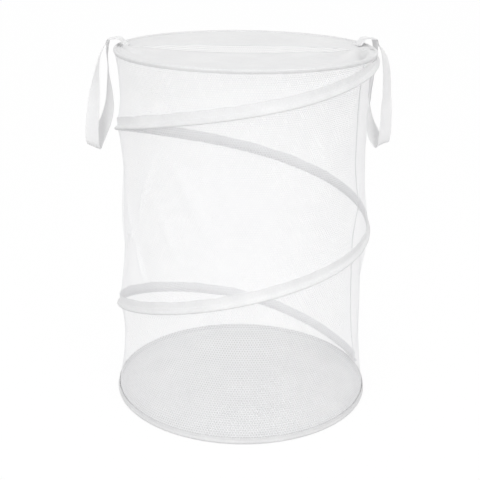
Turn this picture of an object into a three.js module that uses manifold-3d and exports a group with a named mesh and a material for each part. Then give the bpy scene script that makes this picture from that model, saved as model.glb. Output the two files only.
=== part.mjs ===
// Pop-up laundry hamper: a net wall held open by two steel hoops and a two-turn spiral spring.
// Millimetres, +Z up, origin at the middle of the underside. +X is the right-hand handle's side,
// and -Y is the front.
import * as THREE from 'three';
import * as BufferGeometryUtils from 'three/addons/utils/BufferGeometryUtils.js';
import Module from 'manifold-3d';

const wasm = await Module();
wasm.setup();

// Driving sizes of the popped-up hamper
const hamperHeight = 635;
const rimHoopRadius = 224;
const baseHoopRadius = 228;

// Steel, cloth and net
const wireDiameter = 2.4;
const sleeveWall = 0.5;
const sleeveLength = 22;
const hoopEndGap = 1;
const tapeThickness = 0.7;
const netThickness = 0.5;
const clothThickness = 0.8;
const fitGap = 0.3;

// Bindings: a folded tape round each hoop, its two legs sewn to the net between them
const rimLegHeight = 7;
const baseLegHeight = 9;

// Spiral casing: the same tape, with one tall leg outside the net
const casingHeight = 19;
const casingInnerLeg = 4;
const casingPinchHeight = 6;
const capLength = 11;
const capEndWall = 1.5;

// Net wall, drawn in between whatever holds it out. Its fine hexagons are shown as one coarse
// lattice of diamonds. The seam is also where the spiral begins.
const netDrawDepth = 13;
const netDrawLength = 60;
const netFlareDepth = 46;
const seamWidth = 10;
const seamEase = 0.8;
const seamBearing = 15;

// Split top cover of two half-moon cloths
const slitHalfLength = 176;
const slitFrontReach = 31;
const slitRearReach = 41;
const coverEdgeGap = 0.4;
const coverHem = 8;
const coverHemStep = 0.8;
const hemLayers = 2;
const coverSag = 5;
const coverRise = 0.5;

// Webbing handles
const webbingWidth = 25;
const webbingThickness = 1.1;
const tackRadius = 1.5;
const handleDrop = 195;
const hingeReach = 15;
const hingeRise = 11.5;
const rootRise = 14;
const rootLanding = 20;
const rootStand = 12;

// Facets
const ringSteps = 48;
const netRows = 11;
const wireSides = 6;
const tubeSides = 12;
const strapSteps = 44;
const rootSteps = 14;

// Shares, chosen by eye
const spiralDropShares = [0, 0.082, 0.197, 0.35, 0.484, 0.588, 0.734, 0.883, 1];
const spiralTurns = 2;
const casingShoulderShare = 0.42;
const casingBendShare = 0.6;
const shoulderShare = 0.3;
const pinchShare = 1.5;
const flatShare = 0.5;
const hemColumnShare = 0.4;
const middleShare = 0.5;
const netOpenShare = 0.76;
const rootFlatShare = 0.6;
const rootClimbShares = [[1, 0.3], [0.6, 0.8], [0, 1]];
const rootSlopeShare = 0.14;
const rootTailShare = 0.3;
const strapTiltShare = 0.4;

// Sizes that follow from the ones above
const fullTurn = 2 * Math.PI;
const stepAngle = fullTurn / ringSteps;
const facetShare = Math.cos(stepAngle / 2);
const wireRadius = wireDiameter / 2;
const boreRadius = wireRadius + fitGap;
const sleeveRadius = boreRadius + sleeveWall;
const pocketRadius = sleeveRadius + fitGap;
const bindingRadius = pocketRadius + tapeThickness;
const legInner = netThickness / 2 + fitGap;
const legOuter = legInner + tapeThickness;
const rimHoopZ = hamperHeight - bindingRadius;
const baseHoopZ = bindingRadius;
const rimLegZ = rimHoopZ - rimLegHeight;
const baseLegZ = baseHoopZ + baseLegHeight;
const netStandOff = bindingRadius + fitGap + netThickness / 2;
const spiralTopZ = rimLegZ - fitGap - bindingRadius;
const spiralEndZ = baseLegZ + fitGap + bindingRadius;

const finishes = {
  springSteel: { color: 0x8f9296, roughness: 0.38, metalness: 1 },
  vinylCap: { color: 0xe9eaec, roughness: 0.5, metalness: 0 },
  wovenTape: { color: 0xf2f2f3, roughness: 0.85, metalness: 0 },
  wovenCloth: { color: 0xefeff0, roughness: 0.8, metalness: 0 },
  polyesterNet: { color: 0xf4f5f8, roughness: 0.75, metalness: 0 },
  webbing: { color: 0xf3f3f4, roughness: 0.8, metalness: 0 }
};

const hamper = new THREE.Group();

function addPiece(name, geometry, finish, parent = hamper) {
  const mesh = new THREE.Mesh(geometry, new THREE.MeshStandardMaterial(finishes[finish]));
  mesh.name = name;
  parent.add(mesh);
  return mesh;
}

const lerp = THREE.MathUtils.lerp;
const clamp = THREE.MathUtils.clamp;

// A point in the upright plane that faces the given bearing.
function polar(radius, angle, z) {
  return new THREE.Vector3(radius * Math.cos(angle), radius * Math.sin(angle), z);
}

// Closed solid through a row of like sections, each a loop of Vector3 whose second half runs back
// beside its first. The two halves split their four-sided faces along the same diagonal, so that
// a twisted wall keeps its thickness. A looped row has no ends; otherwise both are filled across
// between the halves.
function skin(sections, looped) {
  const count = sections[0].length;
  const positions = sections.flatMap((section) => section.flatMap((p) => [p.x, p.y, p.z]));
  const indices = [];
  const lastJoin = looped ? sections.length : sections.length - 1;
  for (let i = 0; i < lastJoin; i += 1) {
    const here = i * count;
    const next = ((i + 1) % sections.length) * count;
    for (let j = 0; j < count; j += 1) {
      const k = (j + 1) % count;
      const [a, b, c, d] = [here + j, here + k, next + k, next + j];
      indices.push(...(j < count / 2 ? [a, b, c, a, c, d] : [a, b, d, b, c, d]));
    }
  }
  if (!looped) {
    const end = (sections.length - 1) * count;
    for (let j = 0; j < count / 2 - 1; j += 1) {
      const [a, b, c, d] = [j, j + 1, count - 2 - j, count - 1 - j];
      indices.push(c, b, a, d, c, a);
      indices.push(end + a, end + b, end + c, end + a, end + c, end + d);
    }
  }
  return faceOutwards(buildGeometry(positions, indices));
}

function buildGeometry(positions, indices) {
  const geometry = new THREE.BufferGeometry();
  geometry.setAttribute('position', new THREE.Float32BufferAttribute(positions, 3));
  geometry.setIndex(indices);
  return geometry;
}

// Turns every face round if the solid came out inside out.
function faceOutwards(geometry) {
  const position = geometry.getAttribute('position');
  const index = geometry.getIndex().array;
  const [a, b, c] = [new THREE.Vector3(), new THREE.Vector3(), new THREE.Vector3()];
  let volume = 0;
  for (let i = 0; i < index.length; i += 3) {
    a.fromBufferAttribute(position, index[i]);
    b.fromBufferAttribute(position, index[i + 1]);
    c.fromBufferAttribute(position, index[i + 2]);
    volume += a.dot(b.cross(c));
  }
  if (volume < 0) {
    const turned = [];
    for (let i = 0; i < index.length; i += 3) {
      turned.push(index[i], index[i + 2], index[i + 1]);
    }
    geometry.setIndex(turned);
  }
  geometry.computeVertexNormals();
  return geometry;
}

function toManifold(geometry) {
  const bare = geometry.clone();
  bare.deleteAttribute('normal');
  bare.deleteAttribute('uv');
  const merged = BufferGeometryUtils.mergeVertices(bare);
  return new wasm.Manifold(new wasm.Mesh({
    numProp: 3,
    vertProperties: new Float32Array(merged.getAttribute('position').array),
    triVerts: new Uint32Array(merged.getIndex().array)
  }));
}

function fromManifold(solid) {
  const mesh = solid.getMesh();
  const geometry = buildGeometry(Array.from(mesh.vertProperties), Array.from(mesh.triVerts));
  geometry.computeVertexNormals();
  return geometry;
}

// Hoops

// The wire lies on the straight sides of a polygon, so that whatever is threaded on one side
// stays on its axis.
function sideRadius(radius, angle) {
  const offset = angle - (Math.floor(angle / stepAngle) + middleShare) * stepAngle;
  return radius * facetShare / Math.cos(offset);
}

function wireOutline(radius, sides) {
  const outline = [];
  for (let i = 0; i < sides; i += 1) {
    const turn = fullTurn * i / sides;
    outline.push(new THREE.Vector2(radius * Math.cos(turn), radius * Math.sin(turn)));
  }
  return outline;
}

function sectionAt(outline, radius, angle, z) {
  return outline.map((p) => polar(radius + p.x, angle, z + p.y));
}

// One wire bent into a ring, its ends a short gap apart at the middle of one side.
function hoopWire(radius, z, jointSide) {
  const outline = wireOutline(wireRadius, wireSides);
  const middle = (jointSide + middleShare) * stepAngle;
  const halfGap = Math.asin(hoopEndGap / 2 / (radius * facetShare));
  const angles = [middle + halfGap];
  for (let i = 1; i <= ringSteps; i += 1) {
    angles.push((jointSide + i) * stepAngle);
  }
  angles.push(middle - halfGap + fullTurn);
  const sections = angles.map((angle) => sectionAt(outline, sideRadius(radius, angle), angle, z));
  return skin(sections, false);
}

// Crimped tube over the two ends of the hoop wire.
function hoopSleeve(radius, z, jointSide) {
  const middle = (jointSide + middleShare) * stepAngle;
  const half = sleeveLength / 2;
  const profile = [
    new THREE.Vector2(boreRadius, -half),
    new THREE.Vector2(sleeveRadius, -half),
    new THREE.Vector2(sleeveRadius, half),
    new THREE.Vector2(boreRadius, half),
    new THREE.Vector2(boreRadius, -half)
  ];
  const geometry = new THREE.LatheGeometry(profile, tubeSides);
  const centre = polar(radius * facetShare, middle, z);
  return placeAlong(geometry, centre, new THREE.Vector3(-Math.sin(middle), Math.cos(middle), 0));
}

// Lays a turned piece, made along Y, on a line through a point.
function placeAlong(geometry, point, direction) {
  const turn = new THREE.Quaternion().setFromUnitVectors(new THREE.Vector3(0, 1, 0), direction);
  geometry.applyQuaternion(turn);
  geometry.translate(point.x, point.y, point.z);
  return faceOutwards(BufferGeometryUtils.mergeVertices(stripped(geometry)));
}

function stripped(geometry) {
  geometry.deleteAttribute('normal');
  geometry.deleteAttribute('uv');
  return geometry;
}

// Folded binding tape: an upright U with a flat foot, drawn in above the wire to lie on the net.
function bindingOutline(legHeight) {
  const half = (shell, leg) => [
    new THREE.Vector2(leg, legHeight),
    new THREE.Vector2(leg, bindingRadius * pinchShare),
    new THREE.Vector2(shell, bindingRadius * shoulderShare),
    new THREE.Vector2(shell, -shell * flatShare),
    new THREE.Vector2(shell * flatShare, -shell)
  ];
  const mirrored = (points) => points.map((p) => new THREE.Vector2(-p.x, p.y)).reverse();
  const outside = half(bindingRadius, legOuter);
  const inside = half(pocketRadius, legInner);
  return [...outside, ...mirrored(outside), ...[...inside, ...mirrored(inside)].reverse()];
}

function hoopBinding(radius, z, legHeight, upright) {
  const outline = bindingOutline(legHeight).map((p) => new THREE.Vector2(p.x, upright ? p.y : -p.y));
  const sections = [];
  for (let i = 0; i < ringSteps; i += 1) {
    sections.push(sectionAt(outline, radius, i * stepAngle, z));
  }
  return skin(sections, true);
}

// Spiral spring

// Height of the wire after a number of turns, clockwise seen from above. It leaves the rim and
// meets the base level, and drops by its own share in each quarter turn between.
function spiralZ(turns) {
  const quarters = spiralDropShares.length - 1;
  const place = clamp(turns / spiralTurns, 0, 1) * quarters;
  const i = Math.min(Math.floor(place), quarters - 1);
  const t = place - i;
  const from = spiralDropShares[i];
  const to = spiralDropShares[i + 1];
  const slopeAt = (k) => {
    const atEnd = k === 0 || k === quarters;
    return atEnd ? 0 : (spiralDropShares[k + 1] - spiralDropShares[k - 1]) / 2;
  };
  const share = from * (1 + 2 * t) * (1 - t) ** 2 + to * t * t * (3 - 2 * t)
    + slopeAt(i) * t * (1 - t) ** 2 - slopeAt(i + 1) * t * t * (1 - t);
  return lerp(spiralTopZ, spiralEndZ, share);
}

// Radius on the straight line from the base binding up to the rim binding.
function hoopRadiusAt(z) {
  return lerp(baseHoopRadius, rimHoopRadius, clamp((z - baseLegZ) / (rimLegZ - baseLegZ), 0, 1));
}

// How far the net is drawn in at a distance from what holds it out.
function netDraw(distance) {
  return netDrawDepth * (1 - Math.exp(-Math.max(0, distance) / netDrawLength));
}

// Radius of the net under the casing. It is a stand-off inside the hoops, but beside a binding
// the net keeps the binding's own radius, and the spiral flares out round it.
function heldRadius(turns) {
  const z = spiralZ(turns);
  const edges = [z - bindingRadius, z + casingHeight];
  return Math.max(...edges.map((edge) => {
    const toBinding = Math.min(rimLegZ - edge, edge - baseLegZ) - netFlareDepth;
    return hoopRadiusAt(edge) - Math.min(netStandOff, netDraw(toBinding));
  }));
}

function spiralRadius(turns) {
  return heldRadius(turns) + netStandOff;
}

function spiralAngle(turns) {
  return THREE.MathUtils.degToRad(seamBearing) - turns * fullTurn;
}

function spiralPoint(turns) {
  return polar(spiralRadius(turns), spiralAngle(turns), spiralZ(turns));
}

// A place a short length in from one end of the spiral, on its first or last straight side.
function nearSpiralEnd(length, atTop) {
  const end = spiralPoint(atTop ? 0 : spiralTurns);
  const next = spiralPoint(atTop ? 1 / ringSteps : spiralTurns - 1 / ringSteps);
  const direction = next.sub(end).normalize();
  return { point: end.clone().addScaledVector(direction, length), direction };
}

function spiralCentres() {
  const inset = capEndWall + 2 * fitGap;
  const centres = [nearSpiralEnd(inset, true).point];
  for (let i = 1; i < spiralTurns * ringSteps; i += 1) {
    centres.push(spiralPoint(i / ringSteps));
  }
  centres.push(nearSpiralEnd(inset, false).point);
  return centres;
}

function spiralWire() {
  const outline = wireOutline(wireRadius, wireSides);
  const sections = spiralCentres().map((centre) => {
    const radius = Math.hypot(centre.x, centre.y);
    return sectionAt(outline, radius, Math.atan2(centre.y, centre.x), centre.z);
  });
  return skin(sections, false);
}

// Least gap between two passes of the wire, between points that lie over half a turn apart.
function spiralLeastGap() {
  const centres = spiralCentres();
  let least = Infinity;
  for (let i = 0; i < centres.length; i += 1) {
    for (let j = i + ringSteps / 2; j < centres.length; j += 1) {
      least = Math.min(least, centres[i].distanceTo(centres[j]) - wireDiameter);
    }
  }
  return least;
}

// Blind cap over an end of the spiral wire, so that it can't pierce its casing.
function spiralCap(atTop) {
  const { point, direction } = nearSpiralEnd(fitGap, atTop);
  const profile = [
    new THREE.Vector2(0, 0),
    new THREE.Vector2(sleeveRadius, 0),
    new THREE.Vector2(sleeveRadius, capLength),
    new THREE.Vector2(boreRadius, capLength),
    new THREE.Vector2(boreRadius, capEndWall),
    new THREE.Vector2(0, capEndWall)
  ];
  return placeAlong(new THREE.LatheGeometry(profile, tubeSides), point, direction);
}

// Net wall

// What holds the net out at one bearing: the rim binding, each pass of the casing and the base
// binding. Past an end of the casing, that end still holds it from aside.
function netHolds(angle) {
  const behindStart = (spiralAngle(0) - angle) / fullTurn;
  const bearing = behindStart - Math.floor(behindStart);
  const holds = [
    { low: rimLegZ, high: hamperHeight, radius: rimHoopRadius, aside: 0 },
    { low: 0, high: baseLegZ, radius: baseHoopRadius, aside: 0 }
  ];
  for (let turns = bearing - 1; turns <= spiralTurns + 1; turns += 1) {
    const nearest = clamp(turns, 0, spiralTurns);
    const z = spiralZ(nearest);
    const radius = heldRadius(nearest);
    const aside = Math.abs(turns - nearest) * fullTurn * radius;
    holds.push({ low: z - bindingRadius, high: z + casingHeight, radius, aside });
  }
  return holds;
}

// The net is drawn in between the places that hold it, the more the further it is from them. It
// stands upright beside each, and keeps to the slope of the straight line beyond.
function netRadius(angle, z) {
  return Math.max(...netHolds(angle).map((hold) => {
    const nearest = clamp(z, hold.low, hold.high);
    const sloped = hold.radius + hoopRadiusAt(z) - hoopRadiusAt(nearest);
    return sloped - netDraw(Math.hypot(z - nearest, hold.aside));
  }));
}

const netTopZ = rimHoopZ - pocketRadius;
const netFootZ = baseHoopZ + pocketRadius;

const netRowHeight = (rimLegZ - baseLegZ) / (netRows + 1);

// A point of the net at a place round it, counted in sides, which are straight.
function netPoint(place, z, offset) {
  const side = Math.floor(place);
  const [from, to] = [side, side + 1].map((corner) => (
    polar(netRadius(corner * stepAngle, z) + offset, corner * stepAngle, z)
  ));
  return from.lerp(to, place - side);
}

// Lattice of staggered diamonds, each centred on a corner of the wall, between two plain hems. A
// face is a row of [place, height] pairs, counterclockwise seen from outside.
function netFaces() {
  const faces = [];
  const openings = [];
  const rowZ = (row) => baseLegZ + (row + 1) * netRowHeight;
  for (let corner = 0; corner < ringSteps; corner += 1) {
    const [low, high] = [[corner, baseLegZ], [corner, rimLegZ]];
    const [nextLow, nextHigh] = [[corner + 1, baseLegZ], [corner + 1, rimLegZ]];
    faces.push([[corner, netFootZ], [corner + 1, netFootZ], nextLow, low]);
    faces.push([high, nextHigh, [corner + 1, netTopZ], [corner, netTopZ]]);
    for (let row = corner % 2; row < netRows; row += 2) {
      const tip = (places, rows) => {
        const reach = (1 - netOpenShare) * netRowHeight;
        if (rows === -1 && row === 0) return [corner + places, baseLegZ];
        if (rows === 1 && row === netRows - 1) return [corner + places, rimLegZ];
        return [corner + places, rowZ(row) + rows * reach];
      };
      const aside = (side, rows) => [corner + side, rowZ(row + rows)];
      const top = [corner, rowZ(row) + netOpenShare * netRowHeight];
      const bottom = [corner, rowZ(row) - netOpenShare * netRowHeight];
      const right = aside(netOpenShare, 0);
      const left = aside(-netOpenShare, 0);
      const rightAbove = tip(1, 1);
      const rightBelow = tip(1, -1);
      faces.push([right, rightBelow, rightAbove]);
      faces.push([rightBelow, aside(2 - netOpenShare, 0), rightAbove]);
      openings.push([right, top, left, bottom]);
      if (row === 0) {
        faces.push([low, nextLow, right, bottom]);
        faces.push([[corner - 1, baseLegZ], low, bottom, left]);
      }
      if (row === netRows - 1) {
        faces.push([right, nextHigh, high, top]);
        faces.push([high, [corner - 1, rimLegZ], left, top]);
      } else {
        faces.push([right, rightAbove, aside(1 - netOpenShare, 1), top]);
        faces.push([top, aside(netOpenShare - 1, 1), tip(-1, 1), left]);
      }
    }
  }
  return { faces, openings };
}

function netWall() {
  const { faces, openings } = netFaces();
  const numbers = new Map();
  const places = [];
  const numberOf = ([place, z]) => {
    const round = (place + ringSteps) % ringSteps;
    const key = `${round.toFixed(4)} ${z.toFixed(4)}`;
    if (!numbers.has(key)) {
      numbers.set(key, places.length);
      places.push([round, z]);
    }
    return numbers.get(key);
  };
  const outside = faces.map((face) => face.map(numberOf));
  const edges = openings.map((opening) => opening.map(numberOf));
  const ends = [];
  for (let corner = 0; corner < ringSteps; corner += 1) {
    ends.push([[corner + 1, netFootZ], [corner, netFootZ]].map(numberOf));
    ends.push([[corner, netTopZ], [corner + 1, netTopZ]].map(numberOf));
  }
  const count = places.length;
  const indices = [];
  for (const [a, b, c, d] of outside) {
    indices.push(a, b, c, c + count, b + count, a + count);
    if (d !== undefined) indices.push(a, c, d, d + count, c + count, a + count);
  }
  const sides = edges.flatMap((edge) => edge.map((from, i) => [from, edge[(i + 1) % edge.length]]));
  for (const [a, b] of [...sides, ...ends]) {
    indices.push(a, b, b + count, a, b + count, a + count);
  }
  const half = netThickness / 2;
  const positions = [half, -half].flatMap((offset) => (
    places.flatMap(([place, z]) => netPoint(place, z, offset).toArray())
  ));
  return faceOutwards(buildGeometry(positions, indices));
}

// Tape over the upright join of the net, on its inner side. Each edge follows the net there.
function netSeam() {
  const angle = THREE.MathUtils.degToRad(seamBearing);
  const across = new THREE.Vector3(-Math.sin(angle), Math.cos(angle), 0);
  const half = seamWidth / 2;
  const edgeAt = (side, z) => {
    const sideLength = 2 * netRadius(angle, z) * Math.sin(stepAngle / 2);
    const onNet = lerp(netRadius(angle, z), netRadius(angle + side * stepAngle, z), half / sideLength);
    const outer = onNet - half * Math.tan(stepAngle / 2) - netThickness / 2 - fitGap - seamEase;
    return [outer, outer - tapeThickness].map((radius) => (
      polar(radius, angle, z).addScaledVector(across, side * half)
    ));
  };
  const levels = [rimLegZ - fitGap];
  for (let row = netRows + middleShare; row > 0; row -= middleShare) {
    levels.push(baseLegZ + row * netRowHeight);
  }
  levels.push(baseLegZ + fitGap);
  const sections = levels.map((z) => {
    const [outerLeft, innerLeft] = edgeAt(1, z);
    const [outerRight, innerRight] = edgeAt(-1, z);
    return [outerLeft, outerRight, innerRight, innerLeft];
  });
  return skin(sections, false);
}

// Section of the spiral's casing: a pocket round the wire, a short leg inside it and a tall leg
// that comes in over the wire and lies on the net. The tall leg is cut short under the rim.
function casingOutline(turns) {
  const shoulder = bindingRadius * casingShoulderShare;
  const top = Math.min(casingHeight, rimLegZ - fitGap - spiralZ(turns));
  const innerTop = Math.min(casingInnerLeg, top - tapeThickness);
  const bend = Math.min(casingPinchHeight, lerp(shoulder, top, casingBendShare));
  const legAt = (height, offset) => {
    const share = clamp((height - shoulder) / (casingPinchHeight - shoulder), 0, 1);
    return new THREE.Vector2(lerp(pocketRadius, -bindingRadius, share) + offset, height);
  };
  return [
    legAt(top, tapeThickness),
    legAt(bend, tapeThickness),
    new THREE.Vector2(bindingRadius, shoulder),
    new THREE.Vector2(bindingRadius, -bindingRadius * flatShare),
    new THREE.Vector2(bindingRadius * flatShare, -bindingRadius),
    new THREE.Vector2(-bindingRadius * flatShare, -bindingRadius),
    new THREE.Vector2(-bindingRadius, -bindingRadius * flatShare),
    new THREE.Vector2(-bindingRadius, innerTop),
    new THREE.Vector2(-pocketRadius, innerTop),
    new THREE.Vector2(-pocketRadius, -pocketRadius * flatShare),
    new THREE.Vector2(-pocketRadius * flatShare, -pocketRadius),
    new THREE.Vector2(pocketRadius * flatShare, -pocketRadius),
    new THREE.Vector2(pocketRadius, -pocketRadius * flatShare),
    new THREE.Vector2(pocketRadius, shoulder),
    legAt(bend, 0),
    legAt(top, 0)
  ];
}

function spiralCasing() {
  const sections = [];
  const stations = spiralTurns * ringSteps;
  for (let i = 0; i <= stations; i += 1) {
    const turns = i / ringSteps;
    const outline = casingOutline(turns);
    sections.push(sectionAt(outline, spiralRadius(turns), spiralAngle(turns), spiralZ(turns)));
  }
  return skin(sections, false);
}

// Top cover and base panel

const coverRadius = (rimHoopRadius - bindingRadius) * facetShare - fitGap;
const coverZ = rimHoopZ + coverRise;

function coverHeight(x, y) {
  const fromMiddle = Math.hypot(x, y) / coverRadius;
  return coverZ - coverSag * (1 - fromMiddle ** 2);
}

// Half-moon cloth from the rim to the lens-shaped slit, hemmed double along the slit. side is 1
// for the rear cloth and -1 for the front one.
function coverCloth(side, slitReach) {
  const columns = [];
  for (let i = 0; i < ringSteps; i += 1) {
    const angle = Math.PI * (i + middleShare) / ringSteps;
    const x = coverRadius * Math.cos(angle);
    const rimY = coverRadius * Math.sin(angle);
    const open = Math.max(0, 1 - (x / slitHalfLength) ** 2);
    const slitY = coverEdgeGap / 2 + (slitReach - coverEdgeGap / 2) * open;
    const hem = Math.min(coverHem, hemColumnShare * (rimY - slitY));
    const step = hem * coverHemStep / coverHem;
    const single = lerp(hem + step, rimY - slitY, middleShare);
    const reaches = [0, hem, hem + step, single, rimY - slitY];
    const layers = [hemLayers, hemLayers, 1, 1, 1];
    const top = reaches.map((reach, k) => coverPoint(x, side * (slitY + reach), layers[k]));
    const bottom = reaches.map((reach) => coverPoint(x, side * (slitY + reach), 0));
    columns.push([...top, ...bottom.reverse()]);
  }
  return skin(columns, false);
}

// A point on top of a number of layers of the cover's cloth, or under it at none.
function coverPoint(x, y, layers) {
  return new THREE.Vector3(x, y, coverHeight(x, y) + (layers - middleShare) * clothThickness);
}

function basePanel() {
  const radius = baseHoopRadius - bindingRadius - fitGap;
  const profile = [
    new THREE.Vector2(0, 0),
    new THREE.Vector2(radius, 0),
    new THREE.Vector2(radius, clothThickness),
    new THREE.Vector2(0, clothThickness)
  ];
  const geometry = new THREE.LatheGeometry(profile, ringSteps);
  geometry.rotateX(Math.PI / 2);
  geometry.rotateZ(Math.PI / 2);
  return faceOutwards(BufferGeometryUtils.mergeVertices(stripped(geometry)));
}

// Handles

// Bearings round the rim, the layers of cover cloth under each root, and each loop's way as shares
// of its drop: out from the rim, towards the back, down, and how far the webbing has turned from
// edge-on to face-on, 1 being a quarter turn. The front strand comes first.
const handles = {
  left: {
    bearing: 176,
    back: -1,
    clothLayers: hemLayers,
    wayShares: [
      [0.02, 0, 0.036, 0.01],
      [0.05, -0.003, 0.08, 0.06],
      [0.085, -0.012, 0.16, 0.18],
      [0.113, -0.022, 0.308, 0.34],
      [0.148, -0.042, 0.605, 0.7],
      [0.163, -0.055, 0.846, 0.93],
      [0.162, -0.04, 0.955, 0.98],
      [0.156, 0, 0.993, 1],
      [0.14, 0.045, 0.945, 0.96],
      [0.095, 0.062, 0.846, 0.8],
      [0.045, 0.058, 0.728, 0.58],
      [0.014, 0.046, 0.605, 0.38],
      [0.006, 0.03, 0.467, 0.21],
      [0.012, 0.015, 0.282, 0.08],
      [0.016, 0.005, 0.128, 0.02],
      [0.009, 0.001, 0.041, 0]
    ]
  },
  right: {
    bearing: 16,
    back: 1,
    clothLayers: 1,
    wayShares: [
      [0.024, 0, 0.036, 0.01],
      [0.062, -0.003, 0.085, 0.05],
      [0.098, -0.012, 0.16, 0.16],
      [0.126, -0.022, 0.29, 0.41],
      [0.135, -0.038, 0.52, 0.6],
      [0.135, -0.05, 0.74, 0.8],
      [0.13, -0.052, 0.9, 0.93],
      [0.125, -0.03, 0.985, 0.98],
      [0.118, 0.005, 1, 1],
      [0.085, 0.045, 0.955, 0.92],
      [0.042, 0.056, 0.85, 0.6],
      [0.006, 0.045, 0.72, 0.26],
      [-0.004, 0.03, 0.54, 0.08],
      [0.004, 0.012, 0.32, 0.04],
      [0.018, 0.005, 0.18, 0.02],
      [0.012, 0.001, 0.05, 0]
    ]
  }
};

// Both strands leave the tack side by side, square to their way down.
function loopRoute(shape) {
  const points = shape.wayShares.map(([out, back, down]) => new THREE.Vector3(
    out * handleDrop,
    shape.back * back * handleDrop,
    -down * handleDrop
  ));
  const apart = (webbingThickness + fitGap) / 2;
  const down = points[0].clone().add(points.at(-1)).normalize();
  const beside = new THREE.Vector3(-down.z, 0, down.x);
  points.unshift(beside.clone().multiplyScalar(apart));
  points.push(beside.clone().multiplyScalar(-apart));
  return new THREE.CatmullRomCurve3(points, false, 'centripetal');
}

function turnAt(shape, place) {
  const turns = [0, ...shape.wayShares.map((row) => row[3]), 0];
  const at = place * (turns.length - 1);
  const i = Math.min(Math.floor(at), turns.length - 2);
  return lerp(turns[i], turns[i + 1], at - i) * Math.PI / 2;
}

function webbingOutline(thickness) {
  const [w, t] = [webbingWidth / 2, thickness / 2];
  return [
    new THREE.Vector2(w, t),
    new THREE.Vector2(-w, t),
    new THREE.Vector2(-w, -t),
    new THREE.Vector2(w, -t)
  ];
}

function webbingSection(centre, tangent, width, outline) {
  const across = width.clone().addScaledVector(tangent, -width.dot(tangent)).normalize();
  const normal = new THREE.Vector3().crossVectors(tangent, across);
  return outline.map((p) => centre.clone().addScaledVector(across, p.x).addScaledVector(normal, p.y));
}

// Webbing loop with the stitched tack that it swings on, about its own origin.
function handleLoop(shape) {
  const route = loopRoute(shape);
  const outline = webbingOutline(webbingThickness);
  const sections = [];
  for (let i = 0; i <= strapSteps; i += 1) {
    const place = i / strapSteps;
    const turn = turnAt(shape, place);
    const [faceOn, edgeOn] = [Math.sin(turn), Math.cos(turn)];
    const width = new THREE.Vector3(faceOn, shape.back * edgeOn, strapTiltShare * faceOn);
    sections.push(webbingSection(route.getPoint(place), route.getTangent(place), width, outline));
  }
  const strap = skin(sections, false);
  const tack = new THREE.CylinderGeometry(tackRadius, tackRadius, webbingWidth, tubeSides);
  return fromManifold(toManifold(strap).add(toManifold(tack)));
}

// Sewn root of a handle: both layers of webbing run up from the cover, over the rim binding, and
// end beside the tack. Seen from the hoop wire, in the plane of the handle's bearing.
function handleRoot(shape) {
  const thickness = 2 * webbingThickness;
  const clothTop = coverRise + (shape.clothLayers - middleShare) * clothThickness;
  const landZ = clothTop + fitGap + thickness / 2;
  const hinge = new THREE.Vector3(hingeReach, 0, hingeRise);
  const approach = new THREE.Vector3(-1, 0, rootSlopeShare).normalize();
  const end = hinge.clone().addScaledVector(approach, tackRadius + fitGap);
  const points = [
    new THREE.Vector3(-rootLanding, 0, landZ),
    new THREE.Vector3(-lerp(rootLanding, rootStand, rootFlatShare), 0, landZ)
  ];
  for (const [inward, rise] of rootClimbShares) {
    points.push(new THREE.Vector3(-rootStand * inward, 0, lerp(landZ, rootRise, rise)));
  }
  points.push(end.clone().addScaledVector(approach, hingeReach * rootTailShare), end);
  const route = new THREE.CatmullRomCurve3(points, false, 'centripetal');
  const width = new THREE.Vector3(0, 1, 0);
  const outline = webbingOutline(thickness);
  const sections = [];
  for (let i = 0; i <= rootSteps; i += 1) {
    const place = i / rootSteps;
    sections.push(webbingSection(route.getPoint(place), route.getTangent(place), width, outline));
  }
  return skin(sections, false);
}

function addHandle(sideName) {
  const shape = handles[sideName];
  const angle = THREE.MathUtils.degToRad(shape.bearing);
  const root = addPiece(`handle_root_${sideName}`, handleRoot(shape), 'webbing');
  root.position.copy(polar(rimHoopRadius, angle, rimHoopZ));
  root.rotation.z = angle;
  const loop = addPiece(`handle_${sideName}`, handleLoop(shape), 'webbing');
  loop.position.copy(polar(rimHoopRadius + hingeReach, angle, rimHoopZ + hingeRise));
  loop.rotation.z = angle;
}

const rimJointSide = 14;
const baseJointSide = 10;

addPiece('base_hoop', hoopWire(baseHoopRadius, baseHoopZ, baseJointSide), 'springSteel');
addPiece('base_hoop_sleeve', hoopSleeve(baseHoopRadius, baseHoopZ, baseJointSide), 'springSteel');
addPiece('base_binding', hoopBinding(baseHoopRadius, baseHoopZ, baseLegHeight, true), 'wovenTape');
addPiece('base_panel', basePanel(), 'wovenCloth');
addPiece('net_wall', netWall(), 'polyesterNet');
addPiece('net_wall_seam', netSeam(), 'wovenTape');
addPiece('spiral_spring', spiralWire(), 'springSteel');
addPiece('spiral_cap_upper', spiralCap(true), 'vinylCap');
addPiece('spiral_cap_lower', spiralCap(false), 'vinylCap');
addPiece('spiral_casing', spiralCasing(), 'wovenTape');
addPiece('rim_hoop', hoopWire(rimHoopRadius, rimHoopZ, rimJointSide), 'springSteel');
addPiece('rim_hoop_sleeve', hoopSleeve(rimHoopRadius, rimHoopZ, rimJointSide), 'springSteel');
addPiece('rim_binding', hoopBinding(rimHoopRadius, rimHoopZ, rimLegHeight, false), 'wovenTape');
addPiece('cover_cloth_rear', coverCloth(1, slitRearReach), 'wovenCloth');
addPiece('cover_cloth_front', coverCloth(-1, slitFrontReach), 'wovenCloth');
addHandle('left');
addHandle('right');

console.log(`spiral spring: least gap to itself ${spiralLeastGap().toFixed(1)} mm`);

export default hamper;
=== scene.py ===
# Pop-up laundry hamper in white polyester: net wall, spiral spring in a tape casing, split cover
# and two webbing handles. Metres, +Z up, -Y to the front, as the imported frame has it.
import math

import bpy
import numpy as np
from mathutils import Matrix, Vector


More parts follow.
